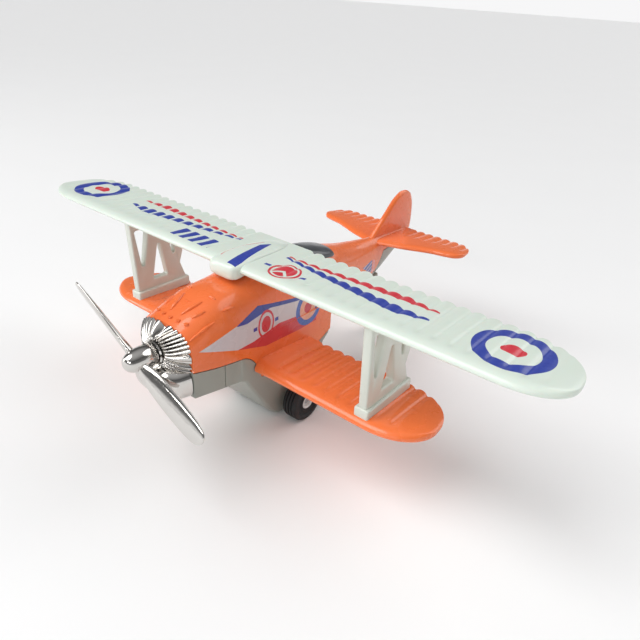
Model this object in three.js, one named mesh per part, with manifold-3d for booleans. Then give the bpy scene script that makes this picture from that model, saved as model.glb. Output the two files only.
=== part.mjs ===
// Die-cast toy biplane with a pull-back spring motor, modelled as an assembly of separate pieces.
// Units are millimetres. +Z is up, the nose points to -Y and the left wing to +X.
// The origin lies on the ground, under the middle of the bounding box.
import * as THREE from 'three';
import { mergeVertices } from 'three/addons/utils/BufferGeometryUtils.js';
import Module from 'manifold-3d';

const wasm = await Module();
wasm.setup();

// ---------------------------------------------------------------- driving dimensions
const FIT = 0.3; // clearance between neighbouring pieces
const RUN = 0.15; // radial clearance of a running shaft
const ROUND = 24; // sides of a turned piece

const WALL = 1.6; // die-cast wall
const SHELL = 1.4; // plastic wall
const NOSE_Y = -54.5; // front face of the casting
const TAIL_Y = 64;

const RIB_PITCH = 4.3; // spacing of the moulded wing ribs
const RIB_DIP = 0.3; // depth of the valleys between ribs
const RIB_SCALLOP = 0.7; // how far the trailing edge steps in at a valley

const UPPER = {
  tip: 95.5, lead: -32.7, trail: -8, widest: -22, leadRun: 16, trailRun: 20,
  leadPower: 2.3, trailPower: 2.2, top: 55.8, thick: 2.8, ribbed: 12,
};
const LOWER = {
  tip: 65.6, lead: -32.5, trail: -7.2, widest: -20.3, leadRun: 15.6, trailRun: 15.6,
  leadPower: 2.1, trailPower: 2.1, top: 26.2, thick: 3.2, ribbed: 17,
};
const ROOT_X = 16; // where the lower wing's root fillet ends
const ROOT_RISE = 3.4; // how far the fillet climbs the fuselage side

const TAIL_TOP = 42.6;
const TAIL_THICK = 2;
const TAIL_TIP = 32;
const FIN_HALF = 1.15;

const PROP = { y: -64, z: 37.9, radius: 27.7, boss: 3.2, lean: 29, face: -59.4, tip: -67.8 };
const SHAFT_R = 1;
const BUSH = { outer: 2.2, flange: 3.6, front: -59.1, back: -51.6 };

const AXLE = { y: -15.2, z: 6.9, radius: 1, half: 17.4 };
const WHEEL = { radius: 6.9, inner: 12.7, outer: 18.2, hub: 2.6, rim: 2 };
const TAIL_WHEEL = { y: 48, z: 3.5, radius: 3.5, half: 1.3, pin: 0.7 };

const GEAR_MODULE = 0.6;
const PINION_TEETH = 10;
const SPRING_TEETH = 24;
const GEAR_X = 1.6; // inner face of the gear pair
const GEAR_WIDE = 2.2;
const CENTRES = GEAR_MODULE * (PINION_TEETH + SPRING_TEETH) / 2 + 0.12;
const ARBOR = { y: AXLE.y, z: AXLE.z + CENTRES, radius: 1.2 };
const CASE = { half: 6, wall: 1 };
// Motor case from the side: it narrows at the foot to fit between the sloping bay walls.
const CASE_SIDE = [
  [-21.6, 3], [-8.4, 3], [-6.4, 7.4], [-5.9, 9.5], [-5.9, 27.2], [-24.4, 27.2], [-24.4, 9.5], [-23.6, 7.4],
];
const CASE_ROOM = [
  [-20.8, 0], [-9.2, 0], [-7.4, 7.6], [-6.9, 9.7], [-6.9, 26.2], [-23.4, 26.2], [-23.4, 9.7], [-22.6, 7.6],
];

const BOX_HALF = 10.6; // motor bay half width
const STRUT = { inner: 46.6, outer: 49.4, foot: 26.5, head: 52.5, peg: 1 };
const STRUT_FOOT = { side: 0.9, front: -31, rear: -9.2, tall: 2.2 };
const STRUT_PEGS = [-27, -14];
const WING_PEGS = [-28, -15];
const WING_PEG_R = 1.3;
const SCREWS = { screw_front: -44, screw_rear: 27 };
const SCREW = { shank: 1.2, head: 2.3, tall: 1.5, reach: 13 };

const ORANGE = 0xf26a2e;
const WHITE = 0xe3ebe2;
const GREY = 0xb9bbb3;
const DARK = 0x3c3f42;
const CHROME = 0xc9c9c9;
const STEEL = 0x9a9ca0;
const BLACK = 0x1d1d1f;
const BRASS = 0xb8924a;
const CREAM = 0xd9d2bf;

// ---------------------------------------------------------------- geometry helpers
const vec = (x, y, z) => new THREE.Vector3(x, y, z);
const X_AXIS = vec(1, 0, 0);
const Y_AXIS = vec(0, 1, 0);
const Z_AXIS = vec(0, 0, 1);

// A closed solid from any closed geometry, with its faces turned outwards.
function solid(geometry) {
  const bare = geometry.clone();
  bare.deleteAttribute('normal');
  bare.deleteAttribute('uv');
  const merged = mergeVertices(bare, 1e-4);
  const at = merged.attributes.position;
  const corners = Array.from({ length: at.count }, (_, i) => vec().fromBufferAttribute(at, i));
  const faces = [];
  let volume = 0;
  for (let i = 0; i < merged.index.count; i += 3) {
    const [a, b, c] = [0, 1, 2].map((k) => merged.index.getX(i + k));
    if (a === b || b === c || a === c) continue;
    faces.push(a, b, c);
    volume += corners[a].dot(vec().crossVectors(corners[b], corners[c]));
  }
  if (volume < 0) faces.reverse();
  return new wasm.Manifold(new wasm.Mesh({
    numProp: 3,
    vertProperties: new Float32Array(at.array),
    triVerts: new Uint32Array(faces),
  }));
}

// A closed skin over rings that all have the same number of points.
function loft(rings) {
  const count = rings[0].length;
  const middle = (ring) => ring.reduce((sum, p) => sum.add(p), vec(0, 0, 0)).divideScalar(count);
  const points = [...rings.flat(), middle(rings[0]), middle(rings.at(-1))];
  const head = points.length - 2;
  const faces = [];
  rings.slice(1).forEach((_, r) => {
    for (let i = 0; i < count; i += 1) {
      const [a, b] = [r * count + i, r * count + ((i + 1) % count)];
      faces.push(a, b, b + count, a, b + count, a + count);
    }
  });
  for (let i = 0; i < count; i += 1) {
    const last = (rings.length - 1) * count;
    faces.push(head, (i + 1) % count, i);
    faces.push(head + 1, last + i, last + ((i + 1) % count));
  }
  const geometry = new THREE.BufferGeometry().setFromPoints(points);
  geometry.setIndex(faces);
  return solid(geometry);
}

// A flat outline given a depth; its plane and depth follow the three axes.
function slab(shape, axes, from, depth, steps = 6) {
  const geometry = new THREE.ExtrudeGeometry(shape, { depth, bevelEnabled: false, curveSegments: steps });
  const start = axes[2].clone().multiplyScalar(from);
  geometry.applyMatrix4(new THREE.Matrix4().makeBasis(...axes).setPosition(start));
  return solid(geometry);
}
const outline = (points) => new THREE.Shape(points.map(([u, v]) => new THREE.Vector2(u, v)));
const sideSlab = (shape, x0, x1, steps) => slab(shape, [Y_AXIS, Z_AXIS, X_AXIS], x0, x1 - x0, steps);
const planSlab = (shape, z0, z1, steps) => slab(shape, [X_AXIS, Y_AXIS, Z_AXIS], z0, z1 - z0, steps);

function block(x0, x1, y0, y1, z0, z1) {
  const geometry = new THREE.BoxGeometry(x1 - x0, y1 - y0, z1 - z0);
  return solid(geometry.translate((x0 + x1) / 2, (y0 + y1) / 2, (z0 + z1) / 2));
}

// Turn a geometry made about +Y so that it stands about another axis through a point.
function aim(geometry, axis, at) {
  const turn = new THREE.Quaternion().setFromUnitVectors(Y_AXIS, axis);
  return geometry.applyQuaternion(turn).translate(at.x, at.y, at.z);
}
function rod(radius, axis, from, to, at, sides = ROUND) {
  const geometry = new THREE.CylinderGeometry(radius, radius, to - from, sides);
  return solid(aim(geometry.translate(0, (from + to) / 2, 0), axis, at));
}
// A turned piece from [radius, station] pairs along the axis.
function turned(profile, axis, at, sides = ROUND) {
  const points = profile.map(([r, t]) => new THREE.Vector2(r, t));
  return solid(aim(new THREE.LatheGeometry(points, sides), axis, at));
}
function ringPart(inner, outer, from, to, axis, at, sides = ROUND) {
  const profile = [[inner, from], [outer, from], [outer, to], [inner, to], [inner, from]];
  return turned(profile, axis, at, sides);
}
const join = (pieces) => pieces.reduce((sum, piece) => sum.add(piece));
const carve = (piece, tools) => tools.reduce((rest, tool) => rest.subtract(tool), piece);

const model = new THREE.Group();
function add(name, piece, color, roughness, metalness) {
  const mesh = piece.getMesh();
  const geometry = new THREE.BufferGeometry();
  geometry.setAttribute('position', new THREE.BufferAttribute(new Float32Array(mesh.vertProperties), 3));
  geometry.setIndex(new THREE.BufferAttribute(new Uint32Array(mesh.triVerts), 1));
  geometry.computeVertexNormals();
  const material = new THREE.MeshStandardMaterial({ color, roughness, metalness });
  const node = new THREE.Mesh(geometry, material);
  node.name = name;
  model.add(node);
}

// ---------------------------------------------------------------- fuselage form
// Stations along the fuselage: [y, half width, top, belly, squareness of the oval].
const STATIONS = [
  [NOSE_Y, 10.4, 45.1, 24.6, 3.2],
  [-48, 10.6, 48, 23.4, 3.2],
  [-42, 10.6, 49.9, 22.3, 3.2],
  [-34, 10.6, 50.6, 20.9, 3.2],
  [-24, 10.6, 51.7, 20.4, 3.2],
  [-10, 10.3, 51, 20.8, 3],
  [0, 9.8, 49.8, 21.4, 2.7],
  [10.5, 8.7, 48.6, 22.2, 2.4],
  [20.7, 7.2, 46.4, 23.2, 2.2],
  [33, 5.4, 44.4, 25.2, 2.1],
  [43, 3.9, 43.3, 28.4, 2.1],
  [52, 2.8, 43, 32.4, 2.1],
  [TAIL_Y, 1.6, 42.8, 37.6, 2.1],
];
const BODY_POINTS = 20;
const SQUARE = 3.2; // squareness where a station gives none

function bodyRing([y, half, top, belly, square = SQUARE], inset) {
  const mid = (top + belly) / 2;
  const squash = (v) => Math.sign(v) * Math.abs(v) ** (2 / square);
  return Array.from({ length: BODY_POINTS }, (_, i) => {
    const turn = (i / BODY_POINTS) * 2 * Math.PI;
    const rise = squash(Math.sin(turn)) * ((top - belly) / 2 - inset);
    return vec(squash(Math.cos(turn)) * (half - inset), y, mid + rise);
  });
}
const bodyForm = (inset, stations = STATIONS) => loft(stations.map((row) => bodyRing(row, inset)));

// Line between the casting and the chassis, seen from the side, closed far below.
const PARTING = [
  [-56, 34.3], [-43.8, 31.3], [-38.8, 30.4], [-36.5, 30.1], [-34.5, 29.2], [-32.1, 26.9], [-30.4, 23.9],
  [-29.2, 20.3], [-3, 20.3], [6, 24.4], [36, 31], [39.4, 32], [44.6, 38.2], [TAIL_Y + 2, 39.4],
];
const below = (drop) => outline([[70, -5], [-60, -5], ...PARTING.map(([y, z]) => [y, z - drop])]);

// ---------------------------------------------------------------- wings
// Leading and trailing edge of a wing at span station x, with rounded tips.
function wingEdges(wing, x) {
  const corner = (run, power) => {
    const past = Math.max(0, (Math.abs(x) - (wing.tip - run)) / run);
    return Math.max(0, 1 - past ** power) ** (1 / power);
  };
  const lead = wing.widest + (wing.lead - wing.widest) * corner(wing.leadRun, wing.leadPower);
  const trail = wing.widest + (wing.trail - wing.widest) * corner(wing.trailRun, wing.trailPower);
  return [lead, trail];
}
// Wing section as [share of chord, drop below the top surface as a share of thickness].
const SECTION = [
  [0, 0.5], [0.03, 0.16], [0.14, 0], [0.55, 0.05], [1, 0.26],
  [1, 0.72], [0.55, 0.94], [0.14, 1], [0.03, 0.84],
];
const VALLEY_FROM = 2; // section points that dip between ribs
const VALLEY_TO = 3;

function wingForm(wing, lift) {
  const stations = [0, wing.ribbed * 0.75];
  const smooth = wing.tip - wing.leadRun * 0.8;
  for (let x = wing.ribbed; x < smooth; x += RIB_PITCH / 2) {
    stations.push(x);
  }
  for (const share of [0.25, 0.5, 0.75, 0.9, 0.985]) {
    stations.push(smooth + (wing.tip - smooth) * share);
  }
  const mirrored = stations.slice(1).reverse().map((x) => -x);
  const rings = [...mirrored, ...stations].map((x) => {
    const step = Math.round((Math.abs(x) - wing.ribbed) / (RIB_PITCH / 2));
    const valley = Math.abs(x) > wing.ribbed && Math.abs(x) < smooth && step % 2 === 1;
    const [lead, trail] = wingEdges(wing, x);
    const chord = trail - lead - (valley ? RIB_SCALLOP : 0);
    const thick = wing.thick * Math.min(1, (chord / (wing.trail - wing.lead)) ** 0.4) + 2 * lift(x);
    return SECTION.map(([share, drop], i) => {
      const dip = valley && i >= VALLEY_FROM && i <= VALLEY_TO ? RIB_DIP : 0;
      const middle = wing.top - wing.thick / 2;
      return vec(x, lead + share * chord, middle + thick * (0.5 - drop) - dip);
    });
  });
  return loft(rings);
}
const rootLift = (x) => ROOT_RISE * Math.max(0, 1 - Math.abs(x) / ROOT_X) ** 1.5;

// ---------------------------------------------------------------- casting: fuselage, lower wing, tail
function tailplane() {
  const lead = new THREE.SplineCurve([
    [3, 40.8], [11, 43.6], [22, 48.4], [28.4, 49.8], [TAIL_TIP, 55], [30.2, 61],
  ].map(([x, y]) => new THREE.Vector2(x, y))).getPoints(16);
  const teeth = 6;
  const scallops = [];
  for (let i = 0; i <= teeth * 2; i += 1) {
    scallops.push(new THREE.Vector2(28 - (i * 22) / (teeth * 2), i % 2 ? 63.4 : 64.4));
  }
  const half = [...lead, ...scallops];
  const mirror = half.map((p) => new THREE.Vector2(-p.x, p.y)).reverse();
  return planSlab(new THREE.Shape([...half, ...mirror]), TAIL_TOP - TAIL_THICK, TAIL_TOP);
}
function fin() {
  const shape = new THREE.Shape();
  shape.moveTo(36, 41);
  shape.lineTo(40, 43.6);
  shape.splineThru([[48.5, 50.9], [54.5, 55.8], [59.8, 57.8], [64.5, 56.5], [67.6, 50.5], [67.9, 41]]
    .map(([y, z]) => new THREE.Vector2(y, z)));
  shape.lineTo(62, 39.8);
  return sideSlab(shape, -FIN_HALF, FIN_HALF, 3);
}
function casting() {
  const inner = STATIONS.map((row) => [...row]);
  inner[0][0] = NOSE_Y + WALL;
  inner.splice(-2, 2, [48, 3.2, 43.1, 27, 2.1]);
  const posts = Object.values(SCREWS).map((y) => (
    rod(SCREW.shank + 1.6, Z_AXIS, 30.2, 52, vec(0, y, 0), 16).intersect(bodyForm(WALL / 2))
  ));
  const pilots = Object.values(SCREWS).map((y) => (
    rod(SCREW.shank + FIT / 2, Z_AXIS, 22, 40, vec(0, y, 0), 12)
  ));
  const sockets = WING_PEGS.map((y) => rod(WING_PEG_R + FIT, Z_AXIS, 46, 56, vec(0, y, 0), 12));
  const strutHoles = [-1, 1].flatMap((side) => STRUT_PEGS.map((y) => {
    const x = side * (STRUT.inner + STRUT.outer) / 2;
    return rod(STRUT.peg + FIT, Z_AXIS, 20, 30, vec(x, y, 0), 12);
  }));
  const skirt = block(-BOX_HALF, BOX_HALF, -38, 4, 20, 34);
  const shell = carve(join([bodyForm(0), skirt, wingForm(LOWER, rootLift)]), [bodyForm(WALL, inner)]);
  const openBelow = sideSlab(below(0), -(BOX_HALF + FIT), BOX_HALF + FIT);
  const motorRoom = block(WALL - BOX_HALF, BOX_HALF - WALL, -36.5, 2.5, 15, 34);
  const bushHole = rod(BUSH.outer + FIT, Y_AXIS, NOSE_Y - 2, BUSH.back, vec(0, 0, PROP.z));
  const cast = join([carve(shell, [openBelow, motorRoom]), tailplane(), fin(), ...posts]);
  return carve(cast, [...pilots, ...sockets, ...strutHoles, bushHole]);
}

// ---------------------------------------------------------------- chassis with motor bay and tail leg
const BAY = [
  [-38, 22.3], [-35.5, 20.9], [-24.5, 4], [-21.5, 1.4], [-8.5, 1.4], [-5.5, 4], [1, 19.5], [4, 21.8],
  [4, 34], [-38, 34],
];
// Lower side panels behind the cowl, with a crisp lower edge.
const NOSE_PANEL = [[NOSE_Y, 25.6], [-37.4, 22.3], [-33, 22.3], [-33, 34], [NOSE_Y, 34]];
const PANEL_HALF = 10.4;
const BAY_INSIDE = [
  [-34, 22], [-24, 6.6], [-22, 2.6], [-8, 2.6], [-6, 6.6], [-1.5, 22], [-1.5, 40], [-34, 40],
];
function chassis() {
  const panel = sideSlab(outline(NOSE_PANEL), -PANEL_HALF, PANEL_HALF);
  const belly = bodyForm(0).add(panel).intersect(sideSlab(below(FIT), -30, 30));
  const tub = STATIONS.map(([y, half, top, floor, square]) => [y, half, top + 12, floor, square]);
  tub[0][0] = NOSE_Y + SHELL;
  tub.splice(-3, 3, [41, 4.1, 56, 27.7, 2.1]);
  const bay = sideSlab(outline(BAY), -BOX_HALF, BOX_HALF).intersect(sideSlab(below(FIT), -30, 30));
  const bayInside = sideSlab(outline(BAY_INSIDE), -(BOX_HALF - SHELL), BOX_HALF - SHELL);
  const bosses = Object.values(SCREWS).map((y) => (
    rod(SCREW.head + 1, Z_AXIS, 23.4, 29.6, vec(0, y, 0), 16).intersect(bodyForm(0.2))
  ));
  const shell = carve(join([belly, bay]), [bodyForm(SHELL, tub), bayInside]);
  const legShape = new THREE.Shape();
  legShape.moveTo(33.5, 27);
  legShape.lineTo(44.8, 5.2);
  legShape.lineTo(TAIL_WHEEL.y - 2.4, TAIL_WHEEL.z);
  legShape.absarc(TAIL_WHEEL.y, TAIL_WHEEL.z, 2.4, Math.PI, 2 * Math.PI, false);
  legShape.lineTo(50.4, 5.5);
  legShape.lineTo(43.5, 33);
  const slotHalf = TAIL_WHEEL.half + 0.5;
  const fork = sideSlab(legShape, -slotHalf - 1.2, slotHalf + 1.2)
    .subtract(block(-slotHalf, slotHalf, 40, 56, 0, TAIL_WHEEL.z + TAIL_WHEEL.radius + 1))
    .intersect(join([bodyForm(0), block(-4, 4, 30, 56, 0, 27)]).intersect(sideSlab(below(FIT), -30, 30)));
  const bores = [
    rod(AXLE.radius + RUN, X_AXIS, -12, 12, vec(0, AXLE.y, AXLE.z)),
    rod(TAIL_WHEEL.pin + RUN, X_AXIS, -6, 6, vec(0, TAIL_WHEEL.y, TAIL_WHEEL.z)),
    ...Object.values(SCREWS).map((y) => rod(SCREW.shank + FIT, Z_AXIS, 15, 40, vec(0, y, 0), 12)),
    ...Object.values(SCREWS).map((y) => rod(SCREW.head + FIT, Z_AXIS, 15, 26, vec(0, y, 0), 16)),
  ];
  return carve(join([shell, ...bosses, fork]), bores);
}

// ---------------------------------------------------------------- upper wing with its centre fairing
function upperWing() {
  // Fairing stations: [y, half width, top, bottom].
  const fairing = [
    [-35.2, 3.2, 55, 52.6], [-34.6, 4.6, 55.9, 51.8], [-33, 5.4, 56.4, 51.5], [-26, 5.2, 56.8, 52.3],
    [-15, 4.4, 56.5, 52.3], [-9, 3.2, 55.2, 52.4], [-6.5, 1.6, 53.8, 52.6],
  ].map((row) => bodyRing(row, 0));
  const pegs = WING_PEGS.map((y) => rod(WING_PEG_R, Z_AXIS, 48.6, 54, vec(0, y, 0), 12));
  const pockets = [-1, 1].flatMap((side) => STRUT_PEGS.map((y) => {
    const x = side * (STRUT.inner + STRUT.outer) / 2;
    return rod(STRUT.peg + FIT, Z_AXIS, 50, 54.2, vec(x, y, 0), 12);
  }));
  return carve(join([wingForm(UPPER, () => 0), loft(fairing), ...pegs]), pockets);
}

// ---------------------------------------------------------------- interplane struts
function strut(side) {
  const plate = outline([
    [-30.4, 28.2], [-31.7, STRUT.head], [-9.2, STRUT.head], [-10.8, 38.7], [-12.2, 34.6], [-9.8, 28.2],
  ]);
  const windows = [
    [[-29.9, 50.6], [-24.6, 50.6], [-27.7, 34.6]],
    [[-20.7, 46.8], [-24, 31.8], [-17.9, 31.6]],
    [[-17.4, 49.8], [-13.6, 49.8], [-14.5, 34.8]],
  ].map((corners) => sideSlab(outline(corners), -60, 60));
  const [x0, x1] = side > 0 ? [STRUT.inner, STRUT.outer] : [-STRUT.outer, -STRUT.inner];
  const middle = (x0 + x1) / 2;
  const { side: wider, front, rear, tall } = STRUT_FOOT;
  const foot = block(x0 - wider, x1 + wider, front, rear, STRUT.foot, STRUT.foot + tall);
  const pegs = STRUT_PEGS.flatMap((y) => [
    rod(STRUT.peg, Z_AXIS, 22.4, 54, vec(middle, y, 0), 12).intersect(
      join([block(x0, x1, y - 2, y + 2, 22, 28), block(x0, x1, y - 2, y + 2, STRUT.head - 1, 54)]),
    ),
    rod(STRUT.peg + 0.9, Z_AXIS, 21.6, 22.6, vec(middle, y, 0), 12),
  ]);
  return join([carve(sideSlab(plate, x0, x1), windows), foot, ...pegs]);
}

// ---------------------------------------------------------------- engine cowl, propeller and shaft
const FINS = 30;
function engineCowl() {
  // Dish stations: [y, share from collar to cowl edge].
  const dish = [[-58.6, 0], [-58, 0.28], [-56.6, 0.62], [-54.9, 0.93]];
  const rings = dish.map(([y, share]) => Array.from({ length: FINS * 2 }, (_, i) => {
    const turn = (i / (FINS * 2)) * 2 * Math.PI;
    const squash = (v) => Math.sign(v) * Math.abs(v) ** (2 / SQUARE);
    const edge = vec(squash(Math.cos(turn)) * 10.2, y, squash(Math.sin(turn)) * 7.2);
    const collar = vec(Math.cos(turn) * 4, y, Math.sin(turn) * 4);
    const ridge = 1 + (i % 2 ? -0.05 : 0) * Math.sin(Math.PI * Math.min(1, share + 0.2));
    const spot = collar.lerp(edge, share);
    return vec(spot.x * ridge, y, PROP.z + spot.z * ridge);
  }));
  // Chin stations: [y, half width, top, bottom].
  const chin = [
    [-61.2, 4.6, 33, 27.4], [-60.4, 7.2, 34, 25.8], [-58, 9.2, 34.6, 24.9], [-54.9, 10.2, 35, 24.7],
  ].map((row) => bodyRing(row, 0));
  const hole = rod(BUSH.outer + FIT, Y_AXIS, -62, -50, vec(0, 0, PROP.z));
  const room = rod(PROP.boss + 1.2, Y_AXIS, -70, -58.7, vec(0, 0, PROP.z));
  return carve(join([loft(rings), loft(chin)]), [hole, room]);
}
function blade(turn) {
  // Blade stations: [radius, half width, half thickness, pitch in degrees].
  const rows = [
    [1.5, 1.2, 1.1, -40], [5, 2.3, 1, -32], [10, 2.9, 0.9, -27], [16, 3.1, 0.8, -25],
    [21, 3.0, 0.7, -23], [25.3, 2.5, 0.55, -21], [27.1, 1.6, 0.4, -20], [PROP.radius, 0.5, 0.25, -20],
  ];
  const points = 10;
  const rings = rows.map(([r, wide, thick, pitch]) => Array.from({ length: points }, (_, i) => {
    const around = (i / points) * 2 * Math.PI;
    const spot = vec(wide * Math.cos(around), thick * Math.sin(around), 0);
    spot.applyAxisAngle(Z_AXIS, THREE.MathUtils.degToRad(pitch));
    return vec(spot.x, spot.y, r).applyAxisAngle(Y_AXIS, turn).add(vec(0, PROP.y, PROP.z));
  }));
  return loft(rings);
}
function propeller() {
  const lean = THREE.MathUtils.degToRad(90 + PROP.lean);
  const boss = turned([
    [0, PROP.face], [PROP.boss, PROP.face], [PROP.boss, -62.5], [2.9, -65], [1.8, -67.1], [0, PROP.tip],
  ], Y_AXIS, vec(0, 0, PROP.z));
  const bore = rod(SHAFT_R + RUN, Y_AXIS, -64.5, -58, vec(0, 0, PROP.z));
  return join([boss, blade(lean), blade(lean + Math.PI)]).subtract(bore);
}
function propellerShaft() {
  return turned([
    [0, -64.2], [SHAFT_R, -64.2], [SHAFT_R, BUSH.back + 0.4], [2, BUSH.back + 0.4],
    [2, BUSH.back + 1.6], [0, BUSH.back + 1.6],
  ], Y_AXIS, vec(0, 0, PROP.z));
}
function noseBush() {
  const bore = SHAFT_R + RUN;
  return turned([
    [bore, BUSH.front], [BUSH.flange - 0.4, BUSH.front], [BUSH.flange, -58.8], [BUSH.outer, -58.8],
    [BUSH.outer, BUSH.back], [bore, BUSH.back], [bore, BUSH.front],
  ], Y_AXIS, vec(0, 0, PROP.z));
}

// ---------------------------------------------------------------- canopy
function canopy() {
  // Canopy stations: [y, half width, top, foot].
  const dome = [
    [-5.5, 4.8, 52, 45], [-2, 5.8, 51.9, 44.6], [3, 6.2, 51.1, 44.2], [8, 6, 49.8, 44],
    [10.2, 5.6, 49.1, 44],
  ].map((row) => bodyRing(row, 0));
  return loft(dome).subtract(bodyForm(-0.25));
}

// ---------------------------------------------------------------- pull-back motor
function gearOutline(teeth, middle) {
  const pitchR = GEAR_MODULE * teeth / 2;
  const [tipR, rootR] = [pitchR + GEAR_MODULE * 0.85, pitchR - GEAR_MODULE * 1.15];
  const step = (2 * Math.PI) / teeth;
  const shape = new THREE.Shape();
  // Each tooth: root, flank at the pitch circle, narrow tip, and back.
  const tooth = [[rootR, -0.36], [pitchR, -0.2], [tipR, -0.09], [tipR, 0.09], [pitchR, 0.2], [rootR, 0.36]];
  for (let i = 0; i < teeth; i += 1) {
    for (const [r, share] of tooth) {
      const turn = (i + share + middle) * step;
      const move = i === 0 && share === tooth[0][1] ? 'moveTo' : 'lineTo';
      shape[move](r * Math.cos(turn), r * Math.sin(turn));
    }
  }
  return shape;
}
function placedGear(teeth, middle, at) {
  return sideSlab(gearOutline(teeth, middle), GEAR_X, GEAR_X + GEAR_WIDE).translate([0, at.y, at.z]);
}
// The upper gear points a tooth gap straight down, the pinion a tooth straight up.
const DOWN_SHARE = 0.75 * SPRING_TEETH - 0.5;
const UP_SHARE = 0.25 * PINION_TEETH;

function springGear() {
  const at = vec(0, ARBOR.y, ARBOR.z);
  const arbor = rod(ARBOR.radius, X_AXIS, -(CASE.half + 0.6), CASE.half + 0.6, at, 16);
  return placedGear(SPRING_TEETH, DOWN_SHARE % 1, ARBOR).add(arbor);
}
function axlePinion() {
  const bore = rod(AXLE.radius + RUN, X_AXIS, 0, 9, vec(0, AXLE.y, AXLE.z));
  return placedGear(PINION_TEETH, UP_SHARE % 1, AXLE).subtract(bore);
}
function mainspring() {
  const [turns, steps, strip] = [3, 48, 0.5];
  const spot = (i, offset) => {
    const turn = (i / steps) * turns * 2 * Math.PI;
    const r = 2.2 + (i / steps) * 5 + offset;
    return [ARBOR.y + r * Math.cos(turn), ARBOR.z + r * Math.sin(turn)];
  };
  const inside = Array.from({ length: steps + 1 }, (_, i) => spot(i, 0));
  const outside = Array.from({ length: steps + 1 }, (_, i) => spot(i, strip)).reverse();
  return sideSlab(outline([...inside, ...outside]), -4.4, 0.6);
}
function motorHoles() {
  return [
    rod(AXLE.radius + RUN, X_AXIS, -9, 9, vec(0, AXLE.y, AXLE.z)),
    rod(ARBOR.radius + RUN, X_AXIS, -9, 9, vec(0, ARBOR.y, ARBOR.z)),
  ];
}
function motorCase() {
  const w = CASE.wall;
  const body = sideSlab(outline(CASE_SIDE), -CASE.half, CASE.half - w - FIT);
  const room = sideSlab(outline(CASE_ROOM), -CASE.half + w, CASE.half + 1);
  return carve(body, [room, ...motorHoles()]);
}
function motorCover() {
  return carve(sideSlab(outline(CASE_SIDE), CASE.half - CASE.wall, CASE.half), motorHoles());
}

// ---------------------------------------------------------------- wheels and axles
const axleAt = vec(0, AXLE.y, AXLE.z);
const tailAt = vec(0, TAIL_WHEEL.y, TAIL_WHEEL.z);

function mainAxle() {
  return rod(AXLE.radius, X_AXIS, -AXLE.half, AXLE.half, axleAt);
}
function tyre(side) {
  const [a, b] = [WHEEL.inner, WHEEL.outer];
  const soft = 0.7;
  const profile = [
    [WHEEL.hub + RUN, a], [WHEEL.radius - soft, a], [WHEEL.radius, a + soft],
    [WHEEL.radius, b - soft], [WHEEL.radius - soft, b], [WHEEL.hub + RUN, b], [WHEEL.hub + RUN, a],
  ];
  return turned(profile.map(([r, x]) => [r, side * x]), X_AXIS, axleAt, 32);
}
function hub(side) {
  const [a, b] = [WHEEL.inner + 0.1, WHEEL.outer - 0.2];
  const bore = AXLE.radius + RUN;
  const profile = [
    [bore, a - 1], [WHEEL.rim, a - 1], [WHEEL.rim, a], [WHEEL.hub, a], [WHEEL.hub, b], [WHEEL.rim, b],
    [WHEEL.rim - 0.2, b - 0.8], [bore, b - 0.8], [bore, a - 1],
  ];
  return turned(profile.map(([r, x]) => [r, side * x]), X_AXIS, axleAt, 32);
}
function tailWheel() {
  const w = TAIL_WHEEL;
  return ringPart(w.pin + RUN, w.radius, -w.half, w.half, X_AXIS, tailAt, 32);
}
function tailAxle() {
  const w = TAIL_WHEEL;
  const end = w.half + 2;
  return turned([
    [0, -end], [1.2, -end], [1.2, -end + 0.2], [w.pin, -end + 0.2], [w.pin, end], [0, end],
  ], X_AXIS, tailAt, 16);
}
function chassisScrew(y) {
  const seat = 26 - SCREW.tall - 0.1;
  const head = turned([
    [0, seat], [SCREW.head, seat], [SCREW.head, seat + SCREW.tall], [SCREW.shank, seat + SCREW.tall],
    [SCREW.shank, seat + SCREW.reach - 1], [0, seat + SCREW.reach],
  ], Z_AXIS, vec(0, y, 0), 16);
  const slots = [[1.5, 0.3], [0.3, 1.5]].map(([u, v]) => block(-u, u, y - v, y + v, seat - 1, seat + 0.8));
  return carve(head, slots);
}

// ---------------------------------------------------------------- assembly
add('body_casting', casting(), ORANGE, 0.3, 0.2);
add('chassis_base', chassis(), GREY, 0.45, 0);
add('upper_wing', upperWing(), WHITE, 0.35, 0);
add('strut_left', strut(1), WHITE, 0.4, 0);
add('strut_right', strut(-1), WHITE, 0.4, 0);
add('engine_cowl', engineCowl(), CHROME, 0.12, 1);
add('propeller', propeller(), CHROME, 0.12, 1);
add('propeller_shaft', propellerShaft(), STEEL, 0.3, 1);
add('nose_bush', noseBush(), CHROME, 0.3, 0);
add('canopy', canopy(), DARK, 0.35, 0);
add('motor_case', motorCase(), CREAM, 0.5, 0);
add('motor_cover', motorCover(), CREAM, 0.5, 0);
add('spring_gear', springGear(), CREAM, 0.5, 0);
add('mainspring', mainspring(), STEEL, 0.35, 1);
add('axle_pinion', axlePinion(), BRASS, 0.4, 1);
add('main_axle', mainAxle(), STEEL, 0.3, 1);
add('tail_wheel', tailWheel(), BLACK, 0.6, 0);
add('tail_axle', tailAxle(), STEEL, 0.3, 1);
for (const [side, word] of [[1, 'left'], [-1, 'right']]) {
  add(`tyre_${word}`, tyre(side), BLACK, 0.7, 0);
  add(`wheel_hub_${word}`, hub(side), WHITE, 0.3, 0);
}
for (const [name, y] of Object.entries(SCREWS)) {
  add(name, chassisScrew(y), STEEL, 0.35, 1);
}

export default model;
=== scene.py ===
"""Toy biplane: detailed skins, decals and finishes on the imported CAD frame.

Lengths are written in millimetres and turned into metres when a mesh is made.
The nose points to -Y, the left wing to +X and +Z is up.
"""
import math

import bmesh
import bpy
import numpy as np
from mathutils import Matrix, Vector


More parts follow.
